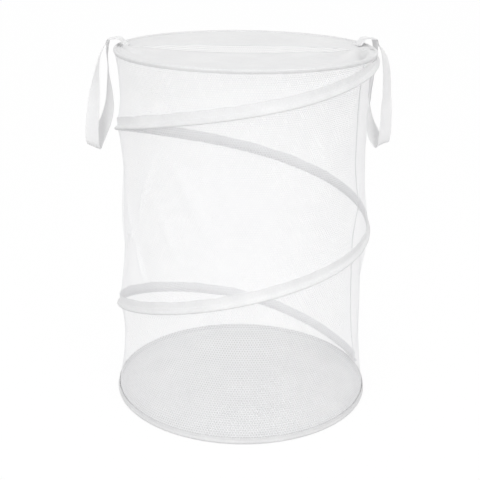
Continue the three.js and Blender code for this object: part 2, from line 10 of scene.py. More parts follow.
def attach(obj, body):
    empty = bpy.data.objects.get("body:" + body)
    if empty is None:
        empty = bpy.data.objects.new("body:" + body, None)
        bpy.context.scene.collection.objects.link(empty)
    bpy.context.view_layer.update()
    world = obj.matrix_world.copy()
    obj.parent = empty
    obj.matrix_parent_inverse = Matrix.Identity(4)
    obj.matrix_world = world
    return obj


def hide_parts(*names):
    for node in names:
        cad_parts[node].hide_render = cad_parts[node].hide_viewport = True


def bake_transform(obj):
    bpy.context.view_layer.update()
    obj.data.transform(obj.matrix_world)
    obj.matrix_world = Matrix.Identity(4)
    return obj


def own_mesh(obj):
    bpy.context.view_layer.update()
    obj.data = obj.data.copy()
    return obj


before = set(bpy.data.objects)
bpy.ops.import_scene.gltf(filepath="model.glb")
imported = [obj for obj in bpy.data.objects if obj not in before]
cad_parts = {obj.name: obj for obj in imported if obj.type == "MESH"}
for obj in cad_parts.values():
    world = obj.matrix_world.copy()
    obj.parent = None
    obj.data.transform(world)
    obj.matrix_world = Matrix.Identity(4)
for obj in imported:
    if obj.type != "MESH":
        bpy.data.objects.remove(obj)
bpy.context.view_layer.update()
print("frame loaded:", len(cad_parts), "nodes")

# Camera, light and floor
view = {
    "place": (0.0, -1.696, 0.886),
    "pitchDegrees": 16.24,
    "rollDegrees": 0.82,
    "focalPixels": 985,
    "photoPixels": 480,
    "shiftX": -0.0079,
    "shiftY": -0.12,  # the photograph's horizon lies above its middle
}


def placeCamera():
    pitch, roll = math.radians(view["pitchDegrees"]), math.radians(view["rollDegrees"])
    right = Vector((1, 0, 0))
    up = Vector((0, math.sin(pitch), math.cos(pitch)))
    back = Vector((0, -math.cos(pitch), math.sin(pitch)))
    rolledRight = right * math.cos(roll) + up * math.sin(roll)
    rolledUp = up * math.cos(roll) - right * math.sin(roll)
    data = bpy.data.cameras.new("photoCamera")
    data.sensor_width = 36
    data.lens = view["focalPixels"] / view["photoPixels"] * data.sensor_width
    data.shift_x, data.shift_y = view["shiftX"], view["shiftY"]
    camera = bpy.data.objects.new("photoCamera", data)
    turn = Matrix((rolledRight, rolledUp, back)).transposed().to_4x4()
    camera.matrix_world = Matrix.Translation(view["place"]) @ turn
    bpy.context.scene.collection.objects.link(camera)
    bpy.context.scene.camera = camera


placeCamera()


def hexColour(code):
    # sRGB hex to linear RGBA
    parts = [int(code[i : i + 2], 16) / 255 for i in (0, 2, 4)]
    return (*[p / 12.92 if p <= 0.04045 else ((p + 0.055) / 1.055) ** 2.4 for p in parts], 1)


def addNode(tree, kind, settings=None, links=None, output=0):
    # numbers and names of sockets are inputs, anything else is a property of the node; what comes
    # back is one of its outputs, or all of them for None
    node = tree.nodes.new("ShaderNode" + kind)
    for key, value in (settings or {}).items():
        if isinstance(key, int) or key in node.inputs:
            node.inputs[key].default_value = value
        else:
            setattr(node, key, value)
    for key, source in (links or {}).items():
        tree.links.new(source, node.inputs[key])
    return node.outputs if output is None else node.outputs[output]


def makeMaterial(name, recipe, *values):
    # the recipe adds its nodes to the tree and gives back the surface
    material = bpy.data.materials.new(name)
    material.use_nodes = True
    tree = material.node_tree
    tree.nodes.clear()
    addNode(tree, "OutputMaterial", links={"Surface": recipe(tree, *values)}, output=None)
    return material


white = (1, 1, 1, 1)
light = {
    "skyTint": "ffffff",
    "skyStrength": 0.93,
    # name: place, size across, watts
    "lamps": {
        "leftSoftbox": ((-1.3, -2.3, 1.1), 1.6, 15),
        "rightSoftbox": ((1.3, -2.3, 1.1), 1.6, 15),
    },
    "aimAt": (0, 0, 0.35),
    "floorReach": 40,
    "floorBelow": 0.0006,
    "floorTint": "bebebe",  # what it throws back on the object
    "floorOwnWhite": 0.93,
}


def whiteToTheEye(tree):
    # 1 where a ray comes from the camera, a reflection or a see-through piece
    path = addNode(tree, "LightPath", output=None)
    share = path["Is Camera Ray"]
    for kind in ("Is Glossy Ray", "Is Transmission Ray"):
        share = addNode(tree, "Math", {"operation": "MAXIMUM"}, {0: share, 1: path[kind]})
    return share


def lightScene():
    scene = bpy.context.scene
    scene.view_settings.view_transform = "Standard"
    world = bpy.data.worlds.new("paleStudio")
    world.use_nodes = True
    scene.world = world
    tree = world.node_tree
    tree.nodes.clear()
    look = {"Color": hexColour(light["skyTint"]), "Strength": light["skyStrength"]}
    sky = addNode(tree, "Background", look)
    seen = addNode(tree, "Background", {"Color": white, "Strength": 1})
    mix = addNode(tree, "MixShader", links={0: whiteToTheEye(tree), 1: sky, 2: seen})
    addNode(tree, "OutputWorld", links={"Surface": mix}, output=None)
    for name, (place, size, watts) in light["lamps"].items():
        data = bpy.data.lights.new(name, "AREA")
        data.shape, data.size, data.energy = "DISK", size, watts
        lamp = bpy.data.objects.new(name, data)
        lamp.location = place
        aim = Vector(light["aimAt"]) - lamp.location
        lamp.rotation_euler = aim.to_track_quat("-Z", "Y").to_euler()
        scene.collection.objects.link(lamp)


def paper(tree):
    # matt, takes a soft shadow; nearly white by itself where it is seen
    toEye = whiteToTheEye(tree)
    tints = {"data_type": "RGBA", 6: hexColour(light["floorTint"]), 7: white}
    tint = addNode(tree, "Mix", tints, {0: toEye}, 2)
    matt = addNode(tree, "BsdfDiffuse", links={"Color": tint})
    glow = addNode(tree, "Emission", {"Color": white, "Strength": 1})
    own = {"operation": "MULTIPLY", 1: light["floorOwnWhite"]}
    share = addNode(tree, "Math", own, {0: toEye})
    return addNode(tree, "MixShader", links={0: share, 1: matt, 2: glow})


def makeFloor():
    reach = light["floorReach"]
    corners = [(-reach, -reach, 0), (reach, -reach, 0), (reach, reach, 0), (-reach, reach, 0)]
    mesh = bpy.data.meshes.new("floor")
    mesh.from_pydata(corners, [], [(0, 1, 2, 3)])
    mesh.materials.append(makeMaterial("studioPaper", paper))
    floor = bpy.data.objects.new("floor", mesh)
    bpy.context.scene.collection.objects.link(floor)
    floor.location.z = -light["floorBelow"]


lightScene()
makeFloor()
print("camera, light and floor made")

# Materials


def wovenHeight(tree, place, warpPitch, weftPitch):
    # over and under of a plain weave, from -1 to 1; place is in metres along and across
    split = addNode(tree, "SeparateXYZ", links={0: place}, output=None)
    waves = []
    for axis, pitch in (("X", weftPitch), ("Y", warpPitch)):
        turns = {"operation": "MULTIPLY", 1: 2 * math.pi / pitch}
        phase = addNode(tree, "Math", turns, {0: split[axis]})
        waves.append(addNode(tree, "Math", {"operation": "SINE"}, {0: phase}))
    return addNode(tree, "Math", {"operation": "MULTIPLY"}, {0: waves[0], 1: waves[1]})


def dress(tree, share, tints, height, bump, look, links=None):
    # a surface between a pale and a deep tint, with a relief of some strength and depth, the rest
    # as constants; its colour comes back too
    ends = {"data_type": "RGBA", 6: hexColour(tints[1]), 7: hexColour(tints[0])}
    colour = addNode(tree, "Mix", ends, {0: share}, 2)
    depth = {"Strength": bump[0], "Distance": bump[1]}
    relief = addNode(tree, "Bump", depth, {"Height": height})
    links = {"Base Color": colour, "Normal": relief, **(links or {})}
    return addNode(tree, "BsdfPrincipled", look, links), colour


def fabric(tree, spec):
    # weave relief, slubs along the threads and a slow change of tone, over a soft woven shine
    lengths = addNode(tree, "UVMap", {"uv_map": "lengths"})
    weave = wovenHeight(tree, lengths, spec["warpPitch"], spec["weftPitch"])
    stretched = addNode(tree, "Mapping", {"Scale": spec["slubStretch"]}, {"Vector": lengths})
    grain = {"Scale": 1 / spec["slubSize"], "Detail": 3, "Roughness": 0.6}
    slubs = addNode(tree, "TexNoise", grain, {"Vector": stretched})
    place = addNode(tree, "TexCoord", output="Object")
    patches = {"Scale": 1 / spec["cloudSize"], "Detail": 2}
    clouds = addNode(tree, "TexNoise", patches, {"Vector": place})
    tones = []
    for source, low, high, tone in (
        (weave, -1, 1, spec["weaveTone"]),
        (slubs, 0.35, 0.65, spec["slubTone"]),
        (clouds, 0.35, 0.65, spec["cloudTone"]),
    ):
        spread = {"From Min": low, "From Max": high, "To Min": 0.0, "To Max": tone}
        tones.append(addNode(tree, "MapRange", spread, {0: source}))
    both = addNode(tree, "Math", {"operation": "ADD"}, {0: tones[0], 1: tones[1]})
    share = addNode(tree, "Math", {"operation": "ADD"}, {0: both, 1: tones[2]})
    raised = {"operation": "MULTIPLY_ADD", 1: spec["slubRelief"]}
    height = addNode(tree, "Math", raised, {0: slubs, 2: weave})
    look = {
        "Roughness": spec["roughness"],
        "IOR": 1.54,
        "Sheen Weight": spec["sheen"],
        "Sheen Roughness": 0.4,
        "Specular IOR Level": spec["specular"],
        "Subsurface Weight": spec["glow"],
        "Subsurface Radius": (1, 1, 1),
        "Subsurface Scale": spec["glowReach"],
    }
    return dress(tree, share, spec["tints"], height, (spec["bump"], spec["relief"]), look)[0]


# Polyester taffeta, plain woven and calendered: smooth, a little papery, with a soft even shine.
# Real threads lie 0.25 mm apart; they are drawn at 1 mm so that the weave shows.
taffetaLook = {
    "tints": ("eeeeee", "e1e1e2"),
    "warpPitch": 0.001,
    "weftPitch": 0.001,
    "weaveTone": 0.3,
    "slubTone": 0.4,
    "cloudTone": 0.3,
    "slubStretch": (0.12, 1, 1),
    "slubSize": 0.0012,
    "slubRelief": 1.2,
    "cloudSize": 0.06,
    "bump": 0.35,
    "relief": 0.00012,
    "roughness": 0.62,
    "sheen": 0.12,
    "specular": 0.35,
    "glow": 0.0,
    "glowReach": 0.001,
}
taffeta = makeMaterial("calenderedTaffeta", fabric, taffetaLook)

# Polyester binding tape, plain woven and folded hot: finer ribs across, matt.
# Real ribs lie 0.4 mm apart; they are drawn at 0.9 mm.
tapeLook = {
    "tints": ("f1f1f1", "dfdfe0"),
    "warpPitch": 0.0018,
    "weftPitch": 0.0009,
    "weaveTone": 0.3,
    "slubTone": 0.4,
    "cloudTone": 0.3,
    "slubStretch": (1, 0.2, 1),
    "slubSize": 0.001,
    "slubRelief": 0.8,
    "cloudSize": 0.045,
    "bump": 0.4,
    "relief": 0.00015,
    "roughness": 0.72,
    "sheen": 0.15,
    "specular": 0.3,
    "glow": 0.45,
    "glowReach": 0.0013,
}
bindingTape = makeMaterial("wovenBindingTape", fabric, tapeLook)

# The same tape on the two hoops in a greyer tint: painted shade, for the shaded underside of the rolled
# edge round the wire.
hoopTapePaintedShade = makeMaterial("hoopBindingTapePaintedShade", fabric, {**tapeLook, "tints": ("eaeaea", "dadadb")})

# Its inner side, seen through the net: the paler tint is painted light over the shade inside the
# hamper.
tapeInsidePaintedLight = makeMaterial("bindingTapeInsidePaintedLight", fabric, {**tapeLook, "tints": ("f6f6f6", "e8e8e9")})

# A thinner tape of the same weave over the net's upright join; its whiter tint is painted light over
# the shade it lies in behind the net, so that it hardly shows.
seamTapePaintedLight = makeMaterial("seamTapeWithPaintedLight", fabric, {**tapeLook, "tints": ("fdfdfd", "f6f6f7")})

# Polypropylene webbing, 25 mm, plain woven from thick yarns: heavy ribs with a dull shine.
webbingLook = {
    "tints": ("fbfbfb", "ececed"),
    "warpPitch": 0.0021,
    "weftPitch": 0.0016,
    "weaveTone": 0.45,
    "slubTone": 0.35,
    "cloudTone": 0.2,
    "slubStretch": (0.15, 1, 1),
    "slubSize": 0.0008,
    "slubRelief": 0.5,
    "cloudSize": 0.05,
    "bump": 0.6,
    "relief": 0.00025,
    "roughness": 0.66,
    "sheen": 0.15,
    "specular": 0.35,
    "glow": 0.4,
    "glowReach": 0.002,
}
webbingWeave = makeMaterial("wovenWebbing", fabric, webbingLook)

# Heat-set polyester knit: each side of a cell is a bundle of twisted filaments, which gives it a
# fine slanting grain and a cool white. Filaments of 0.05 mm are drawn at 0.4 mm.
netLook = {
    "tints": ("fdfdfe", "f5f5f7"),
    "slant": 0.6,
    "filamentStretch": (1, 0.3, 1),
    "filamentSize": 0.0004,
    "cloudSize": 0.05,
    "bump": 0.4,
    "relief": 0.0001,
    "through": 0.25,  # a thin bright thread lets the light behind it through
}


def netting(tree, spec):
    lengths = addNode(tree, "UVMap", {"uv_map": "lengths"})
    slant = {"Rotation": (0, 0, spec["slant"]), "Scale": spec["filamentStretch"]}
    slanted = addNode(tree, "Mapping", slant, {"Vector": lengths})
    grain = {"Scale": 1 / spec["filamentSize"], "Detail": 2}
    filaments = addNode(tree, "TexNoise", grain, {"Vector": slanted})
    place = addNode(tree, "TexCoord", output="Object")
    patches = {"Scale": 1 / spec["cloudSize"], "Detail": 2}
    clouds = addNode(tree, "TexNoise", patches, {"Vector": place})
    both = addNode(tree, "Math", {"operation": "ADD"}, {0: filaments, 1: clouds})
    share = addNode(tree, "MapRange", {"From Min": 0.7, "From Max": 1.3}, {0: both})
    look = {"Roughness": 0.6, "IOR": 1.54, "Specular IOR Level": 0.3, "Sheen Weight": 0.1}
    bump = (spec["bump"], spec["relief"])
    shader, colour = dress(tree, share, spec["tints"], filaments, bump, look)
    behind = addNode(tree, "BsdfTranslucent", links={"Color": colour})
    return addNode(tree, "MixShader", {0: spec["through"]}, {1: shader, 2: behind})


# Spun polyester sewing thread: two plies twisted together, so it has a slanting ripple
threadLook = {"tints": ("f6f6f7", "e3e4e6"), "plyPitch": 0.0007, "bump": 0.5, "relief": 0.0001}


def thread(tree, spec):
    lengths = addNode(tree, "UVMap", {"uv_map": "lengths"})
    split = addNode(tree, "SeparateXYZ", links={0: lengths}, output=None)
    slant = addNode(tree, "Math", {"operation": "ADD"}, {0: split["X"], 1: split["Y"]})
    turns = {"operation": "MULTIPLY", 1: 2 * math.pi / spec["plyPitch"]}
    phase = addNode(tree, "Math", turns, {0: slant})
    ply = addNode(tree, "Math", {"operation": "SINE"}, {0: phase})
    share = addNode(tree, "MapRange", {"From Min": -1, "From Max": 1}, {0: ply})
    look = {"Roughness": 0.6, "IOR": 1.54, "Specular IOR Level": 0.35, "Sheen Weight": 0.1}
    return dress(tree, share, spec["tints"], ply, (spec["bump"], spec["relief"]), look)[0]


# Oil-tempered spring steel wire: grey with a faint brown, satin from the drawing die
wireLook = {"tints": ("9b9da0", "7f7e7d"), "roughness": 0.34, "grain": 0.004}

# Zinc-plated crimp tube: paler and duller
crimpLook = {"tints": ("b4b7ba", "9a9da1"), "roughness": 0.42, "grain": 0.002}


def metal(tree, spec):
    # small cloudy patches in the tint and the gloss, as a die or a plating bath leaves them
    place = addNode(tree, "TexCoord", output="Object")
    patches = addNode(tree, "TexNoise", {"Scale": 1 / spec["grain"], "Detail": 4}, {"Vector": place})
    spread = {"To Min": spec["roughness"] - 0.06, "To Max": spec["roughness"] + 0.1}
    dull = addNode(tree, "MapRange", spread, {0: patches})
    look = {"Metallic": 1.0}
    roughened = {"Roughness": dull}
    return dress(tree, patches, spec["tints"], patches, (0.2, 0.0001), look, roughened)[0]


# Soft PVC, dip moulded: smooth and waxy, with a faint sag in its gloss
vinylLook = {"tints": ("e9eaec", "dcdde0"), "sagSize": 0.003, "roughness": 0.42}


def vinyl(tree, spec):
    place = addNode(tree, "TexCoord", output="Object")
    sag = addNode(tree, "TexNoise", {"Scale": 1 / spec["sagSize"], "Detail": 2}, {"Vector": place})
    look = {"Roughness": spec["roughness"], "IOR": 1.53}
    return dress(tree, sag, spec["tints"], sag, (0.25, 0.0003), look)[0]


knittedNet = makeMaterial("knittedNet", netting, netLook)
sewingThread = makeMaterial("sewingThread", thread, threadLook)
springSteel = makeMaterial("temperedSpringWire", metal, wireLook)
crimpTube = makeMaterial("zincPlatedCrimp", metal, crimpLook)
dippedVinyl = makeMaterial("dippedVinyl", vinyl, vinylLook)
print("materials made")

# Meshes from rows of points


def patchOf(points, closedAlong=False, closedAcross=False, ends=False, turned=False):
    # a sheet through rows of points (along, across, xyz), with its lengths in metres as a map
    rows, columns = points.shape[:2]
    nextRow = np.roll(np.arange(rows), -1)
    nextColumn = np.roll(np.arange(columns), -1)
    along = np.linalg.norm(points[nextRow] - points, axis=2).mean(1)
    across = np.linalg.norm(points[:, nextColumn] - points, axis=2).mean(0)
    placeAlong = np.concatenate([[0], np.cumsum(along)])
    placeAcross = np.concatenate([[0], np.cumsum(across)])
    i = np.arange(rows if closedAlong else rows - 1)
    j = np.arange(columns if closedAcross else columns - 1)
    i, j = [x.ravel() for x in np.meshgrid(i, j, indexing="ij")]
    corners = [(i, j), (i + 1, j), (i + 1, j + 1), (i, j + 1)]
    if turned:
        corners.reverse()
    faces = np.stack([(a % rows) * columns + b % columns for a, b in corners], 1)
    lengths = np.stack([np.stack([placeAlong[a], placeAcross[b]], 1) for a, b in corners], 1)
    if ends:  # fills a folded section between its outer and its inner side
        k = np.arange(columns // 2 - 1)
        quads = np.stack([k, k + 1, columns - 2 - k, columns - 1 - k], 1)
        if not turned:
            quads = quads[:, ::-1]
        flat = np.stack([placeAcross[quads % (columns // 2)], quads * 0.0], 2)
        last = (quads + (rows - 1) * columns)[:, ::-1]
        faces = np.concatenate([faces, quads, last])
        lengths = np.concatenate([lengths, flat, flat[:, ::-1]])
    return [(points.reshape(-1, 3), faces, lengths, 0)]


def buildPiece(name, patches, materials, sharpDegrees=40):
    places, starts, totals, corners, lengths, slots = [], [], [], [], [], []
    base = loops = 0
    for points, faces, uv, slot in patches:
        places.append(points)
        count = faces.shape[1]
        starts.append(loops + count * np.arange(len(faces)))
        totals.append(np.full(len(faces), count))
        corners.append((faces + base).ravel())
        lengths.append(uv.reshape(-1, 2))
        slots.append(np.full(len(faces), slot))
        base += len(points)
        loops += faces.size
    places = np.concatenate(places)
    mesh = bpy.data.meshes.new(name)
    mesh.vertices.add(len(places))
    mesh.vertices.foreach_set("co", places.astype(np.float32).ravel())
    mesh.loops.add(loops)
    mesh.loops.foreach_set("vertex_index", np.concatenate(corners).astype(np.int32))
    mesh.polygons.add(sum(len(s) for s in starts))
    mesh.polygons.foreach_set("loop_start", np.concatenate(starts).astype(np.int32))
    mesh.polygons.foreach_set("loop_total", np.concatenate(totals).astype(np.int32))
    mesh.polygons.foreach_set("material_index", np.concatenate(slots).astype(np.int32))
    layer = mesh.uv_layers.new(name="lengths")
    layer.uv.foreach_set("vector", np.concatenate(lengths).astype(np.float32).ravel())
    for material in materials:
        mesh.materials.append(material)
    mesh.update(calc_edges=True)
    mesh.validate()
    mesh.shade_smooth()
    mesh.set_sharp_from_angle(angle=math.radians(sharpDegrees))
    piece = bpy.data.objects.new(name, mesh)
    bpy.context.scene.collection.objects.link(piece)
    return piece


def unit(v):
    return v / np.maximum(np.linalg.norm(v, axis=-1, keepdims=True), 1e-12)


def ramp(distance, span):
    # from 0 to 1 over the span, and level before and after it
    return np.clip(distance / span, 0, 1)


def fullTurn(count):
    return 2 * np.pi * np.arange(count) / count


def travelledAlong(path):
    return np.concatenate([[0], np.cumsum(np.linalg.norm(np.diff(path, axis=0), axis=1))])


def pointsAt(s, travelled, path):
    return np.stack([np.interp(s, travelled, path[:, k]) for k in range(3)], 1)


stitch = {
    "pitch": 0.0034,
    "lengthShare": 0.72,
    "radius": 0.00032,
    "lift": 0.0001,
    # along the bar: place, how full it is there and how deep it lies, as shares
    "stations": [(-1.0, 0.25, -0.6), (-0.55, 1.0, 0.0), (0.55, 1.0, 0.0), (1.0, 0.25, -0.6)],
}


def stitchRow(path, normals, closed=False, material=1, pitch=None):
    # lockstitches along a line, each a low rounded bar whose ends dive into the cloth
    if closed:
        path, normals = np.vstack([path, path[:1]]), np.vstack([normals, normals[:1]])
    travelled = travelledAlong(path)
    count = max(2, int(round(travelled[-1] / (pitch or stitch["pitch"]))))
    real = travelled[-1] / count
    middle = (np.arange(count) + 0.5) * real
    centre = pointsAt(middle, travelled, path)
    before, after = (pointsAt(middle + real * share, travelled, path) for share in (-0.3, 0.3))
    way = unit(after - before)
    up = unit(pointsAt(middle, travelled, normals))
    side = unit(np.cross(way, up))
    half = real * stitch["lengthShare"] / 2
    rows = []
    for reach, swell, dive in stitch["stations"]:
        row = []
        for turn in (0, 60, 120, 180):
            r = stitch["radius"] * swell
            rise = r * math.sin(math.radians(turn)) + stitch["lift"] + dive * stitch["radius"]
            aside = r * 1.3 * math.cos(math.radians(turn))
            row.append(centre + way * reach * half + side * aside + up * rise)
        rows.append(np.stack(row, 1))
    points = np.stack(rows, 1)  # stitch, station, round, xyz
    i, j = [x.ravel() for x in np.meshgrid(np.arange(3), np.arange(3), indexing="ij")]
    quad = np.stack([i * 4 + j, i * 4 + j + 1, (i + 1) * 4 + j + 1, (i + 1) * 4 + j], 1)
    faces = (quad[None] + 16 * np.arange(count)[:, None, None]).reshape(-1, 4)
    long, wide = half * 0.66, stitch["radius"]
    flat = np.stack([i, j], 1) * (long, wide)
    corner = np.stack([flat, flat + (0, wide), flat + (long, wide), flat + (long, 0)], 1)
    uv = np.tile(corner, (count, 1, 1))
    uv[:, :, 0] += np.repeat(middle, len(quad))[:, None]
    return [(points.reshape(-1, 3), faces, uv, material)]


def rippleOf(s, seed, sizes, heights):
    # a seeded sum of slow waves along a length, with no pattern that repeats
    made = np.random.default_rng(seed)
    total = np.zeros_like(s)
    for size, height in zip(sizes, heights):
        for _ in range(3):
            length = size * made.uniform(0.7, 1.4)
            total += height * np.sin(2 * np.pi * s / length + made.uniform(0, 2 * np.pi)) / 1.7
    return total


def polar(radius, angle, z):
    return np.stack(np.broadcast_arrays(radius * np.cos(angle), radius * np.sin(angle), z), -1)


# The shape that the wires give
form = {
    "height": 0.635,
    "rimHoop": 0.224,
    "baseHoop": 0.228,
    "hoopZ": 0.003,  # of the lower hoop, and below the top of the upper one
    "rimLegZ": 0.625,
    "baseLegZ": 0.012,
    "netTopZ": 0.6297,
    "netFootZ": 0.0053,
    "standOff": 0.00355,
    "bindingRadius": 0.003,
    "casingHeight": 0.019,
    "spiralTopZ": 0.6217,
    "spiralEndZ": 0.0153,
    "dropShares": [0, 0.082, 0.197, 0.35, 0.484, 0.588, 0.734, 0.883, 1],
    "spiralTurns": 2,
    "seamBearing": math.radians(15),
    "drawDepth": 0.013,
    "drawLength": 0.06,
    "flareDepth": 0.046,
    "softness": 0.0004,
}
# foot and top of what hangs between the two bindings, a hair clear of both
hang = (form["baseLegZ"] + 0.0003, form["rimLegZ"] - 0.0003)


def spiralZ(turns):
    shares = np.array(form["dropShares"])
    quarters = len(shares) - 1
    place = ramp(turns, form["spiralTurns"]) * quarters
    i = np.minimum(np.floor(place).astype(int), quarters - 1)
    t = place - i
    slopes = np.zeros(quarters + 1)
    slopes[1:-1] = (shares[2:] - shares[:-2]) / 2
    share = (
        shares[i] * (1 + 2 * t) * (1 - t) ** 2
        + shares[i + 1] * t * t * (3 - 2 * t)
        + slopes[i] * t * (1 - t) ** 2
        - slopes[i + 1] * t * t * (1 - t)
    )
    return form["spiralTopZ"] + (form["spiralEndZ"] - form["spiralTopZ"]) * share


def hoopRadiusAt(z):
    share = ramp(z - form["baseLegZ"], form["rimLegZ"] - form["baseLegZ"])
    return form["baseHoop"] + (form["rimHoop"] - form["baseHoop"]) * share


def netDraw(distance):
    return form["drawDepth"] * (1 - np.exp(-np.maximum(0, distance) / form["drawLength"]))


def heldRadius(turns):
    z = spiralZ(turns)
    found = []
    for edge in (z - form["bindingRadius"], z + form["casingHeight"]):
        toBinding = np.minimum(form["rimLegZ"] - edge, edge - form["baseLegZ"]) - form["flareDepth"]
        found.append(hoopRadiusAt(edge) - np.minimum(form["standOff"], netDraw(toBinding)))
    return np.maximum(*found)


def spiralAngle(turns):
    return form["seamBearing"] - turns * 2 * np.pi


def netRadius(angle, z):
    # the net is drawn in between the rim, each pass of the casing and the base
    behind = (form["seamBearing"] - angle) / (2 * np.pi)
    bearing = behind - np.floor(behind)
    held = []
    for low, high, radius in (
        (form["rimLegZ"], form["height"], form["rimHoop"]),
        (0.0, form["baseLegZ"], form["baseHoop"]),
    ):
        near = np.clip(z, low, high)
        held.append(radius + hoopRadiusAt(z) - hoopRadiusAt(near) - netDraw(np.abs(z - near)))
    for step in range(-1, 4):
        turns = bearing + step
        nearest = np.clip(turns, 0, form["spiralTurns"])
        passZ, radius = spiralZ(nearest), heldRadius(nearest)
        near = np.clip(z, passZ - form["bindingRadius"], passZ + form["casingHeight"])
        aside = np.abs(turns - nearest) * 2 * np.pi * radius
        draw = netDraw(np.hypot(z - near, aside))
        held.append(radius + hoopRadiusAt(z) - hoopRadiusAt(near) - draw)
    held = np.stack(np.broadcast_arrays(*held))
    top = held.max(0)
    soft = form["softness"]
    return top + soft * np.log(np.exp((held - top) / soft).sum(0)) * (held.max(0) - top + 1)


# Net wall
net = {
    "cellsRound": 308,  # 4.6 mm cells, as counted in the photograph
    "meanRadius": 0.2255,
    "holeShare": 0.836,
    "ridge": 0.00014,
    "pieces": 4,
    "slackDepth": 0.004,  # how far in it has to be drawn to wrinkle fully
    "swells": 9,  # slow waves all round it
    "swellHeight": 0.00028,
    # tension creases: bearing and height of two ends (degrees, m), how high and how wide (m)
    "folds": [
        (227, 0.473, 215, 0.356, 0.0080, 0.006), (215, 0.356, 200, 0.283, 0.0085, 0.006),
        (202, 0.375, 213, 0.315, 0.0080, 0.006), (213, 0.315, 221, 0.250, 0.0075, 0.006),
        (190, 0.420, 196, 0.270, 0.0050, 0.008), (239, 0.470, 256, 0.350, 0.0045, 0.012),
        (228, 0.400, 242, 0.300, 0.0040, 0.010), (262, 0.460, 270, 0.360, 0.0030, 0.012),
        (207, 0.560, 214, 0.500, 0.0035, 0.008), (300, 0.50, 318, 0.41, 0.0030, 0.010),
        (338, 0.45, 330, 0.30, 0.0050, 0.008), (350, 0.40, 344, 0.24, 0.0050, 0.008),
        (334, 0.22, 343, 0.12, 0.0040, 0.008), (40, 0.50, 48, 0.30, 0.0045, 0.010),
        (95, 0.36, 108, 0.18, 0.0045, 0.010), (150, 0.50, 142, 0.34, 0.0045, 0.010),
        (168, 0.24, 176, 0.10, 0.0045, 0.008),
    ],
}


def foldDepth(angle, z):
    # soft ridges where the pull of the spring gathers the net; none where it is sewn down
    total = np.zeros(np.broadcast(angle, z).shape)
    for fromBearing, fromZ, toBearing, toZ, height, width in net["folds"]:
        turn = np.radians(fromBearing)
        across = (np.mod(angle - turn + np.pi, 2 * np.pi) - np.pi) * form["rimHoop"]
        run = math.radians(toBearing - fromBearing) * form["rimHoop"]
        fall = toZ - fromZ
        share = ramp(across * run + (z - fromZ) * fall, run**2 + fall**2)
        off = np.hypot(across - share * run, z - fromZ - share * fall)
        rounded = np.sin(np.pi * np.clip(share, 0.02, 0.98)) ** 0.7
        total += height * np.exp(-((off / width) ** 2)) * rounded
    return total


def wallRadius(angle, z):
    plain = netRadius(angle, z)
    drawn = ramp(hoopRadiusAt(z) - plain - form["standOff"], net["slackDepth"])
    made = np.random.default_rng(5)
    slow = np.zeros(np.broadcast(angle, z).shape)
    for _ in range(net["swells"]):
        waves, rise = made.integers(5, 19), made.uniform(-60, 60)
        slow += np.sin(waves * angle + rise * z + made.uniform(0, 6.28))
    return plain + drawn * (foldDepth(angle, z) + net["swellHeight"] * slow)


def netPiece(index):
    cells = net["cellsRound"]
    pitch = 2 * math.pi * net["meanRadius"] / cells
    side = pitch / math.sqrt(3)
    span = form["netTopZ"] - form["netFootZ"]
    rowCount = int((span - 2 * side) / (1.5 * side)) + 1
    side = span / (1.5 * (rowCount - 1) + 2)
    first = index * cells // net["pieces"]
    last = (index + 1) * cells // net["pieces"]
    row, column = np.meshgrid(np.arange(rowCount), np.arange(first, last), indexing="ij")
    middleX = (2 * column + row % 2).ravel()
    middleY = (3 * row).ravel()
    ring = [(0, 2), (-1, 1), (-1, -1), (0, -2), (1, -1), (1, 1)]
    outerX = np.stack([middleX + x for x, _ in ring], 1)
    outerY = np.stack([middleY + y for _, y in ring], 1)
    # neighbours share the corners of their cells, so that the net is one sheet
    stride, clear = 100000, 4
    key, found = np.unique((outerX + clear) * stride + outerY + clear, return_inverse=True)
    sharedX, sharedY = key // stride - clear, key % stride - clear
    innerX = middleX[:, None] + (outerX - middleX[:, None]) * net["holeShare"]
    innerY = middleY[:, None] + (outerY - middleY[:, None]) * net["holeShare"]
    allX = np.concatenate([sharedX, innerX.ravel()])
    allY = np.concatenate([sharedY, innerY.ravel()])
    angle = form["seamBearing"] + allX * math.pi / cells
    z = form["netFootZ"] + (allY / 2 + 1) * side
    ridge = np.concatenate([np.full(len(sharedX), net["ridge"]), np.zeros(innerX.size)])
    points = polar(wallRadius(angle, z) + ridge, angle, z)
    outer = found.reshape(-1, 6)
    inner = len(sharedX) + np.arange(innerX.size).reshape(-1, 6)
    corners = [outer, inner, np.roll(inner, -1, 1), np.roll(outer, -1, 1)]
    faces = np.stack(corners, 2).reshape(-1, 4)
    flat = np.stack([allX * pitch / 2, z], 1)
    piece = buildPiece(f"netWall{index + 1}", [(points, faces, flat[faces], 0)], [knittedNet], 80)
    return piece, pitch


def makeNetWall():
    for index in range(net["pieces"]):
        piece, pitch = netPiece(index)
        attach(piece, "base")
        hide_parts("net_wall")
        squashWith(piece, form["netFootZ"], form["netTopZ"])


def squashWith(piece, foot, top):
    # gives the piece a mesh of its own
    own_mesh(piece)


makeNetWall()
print("net wall made")

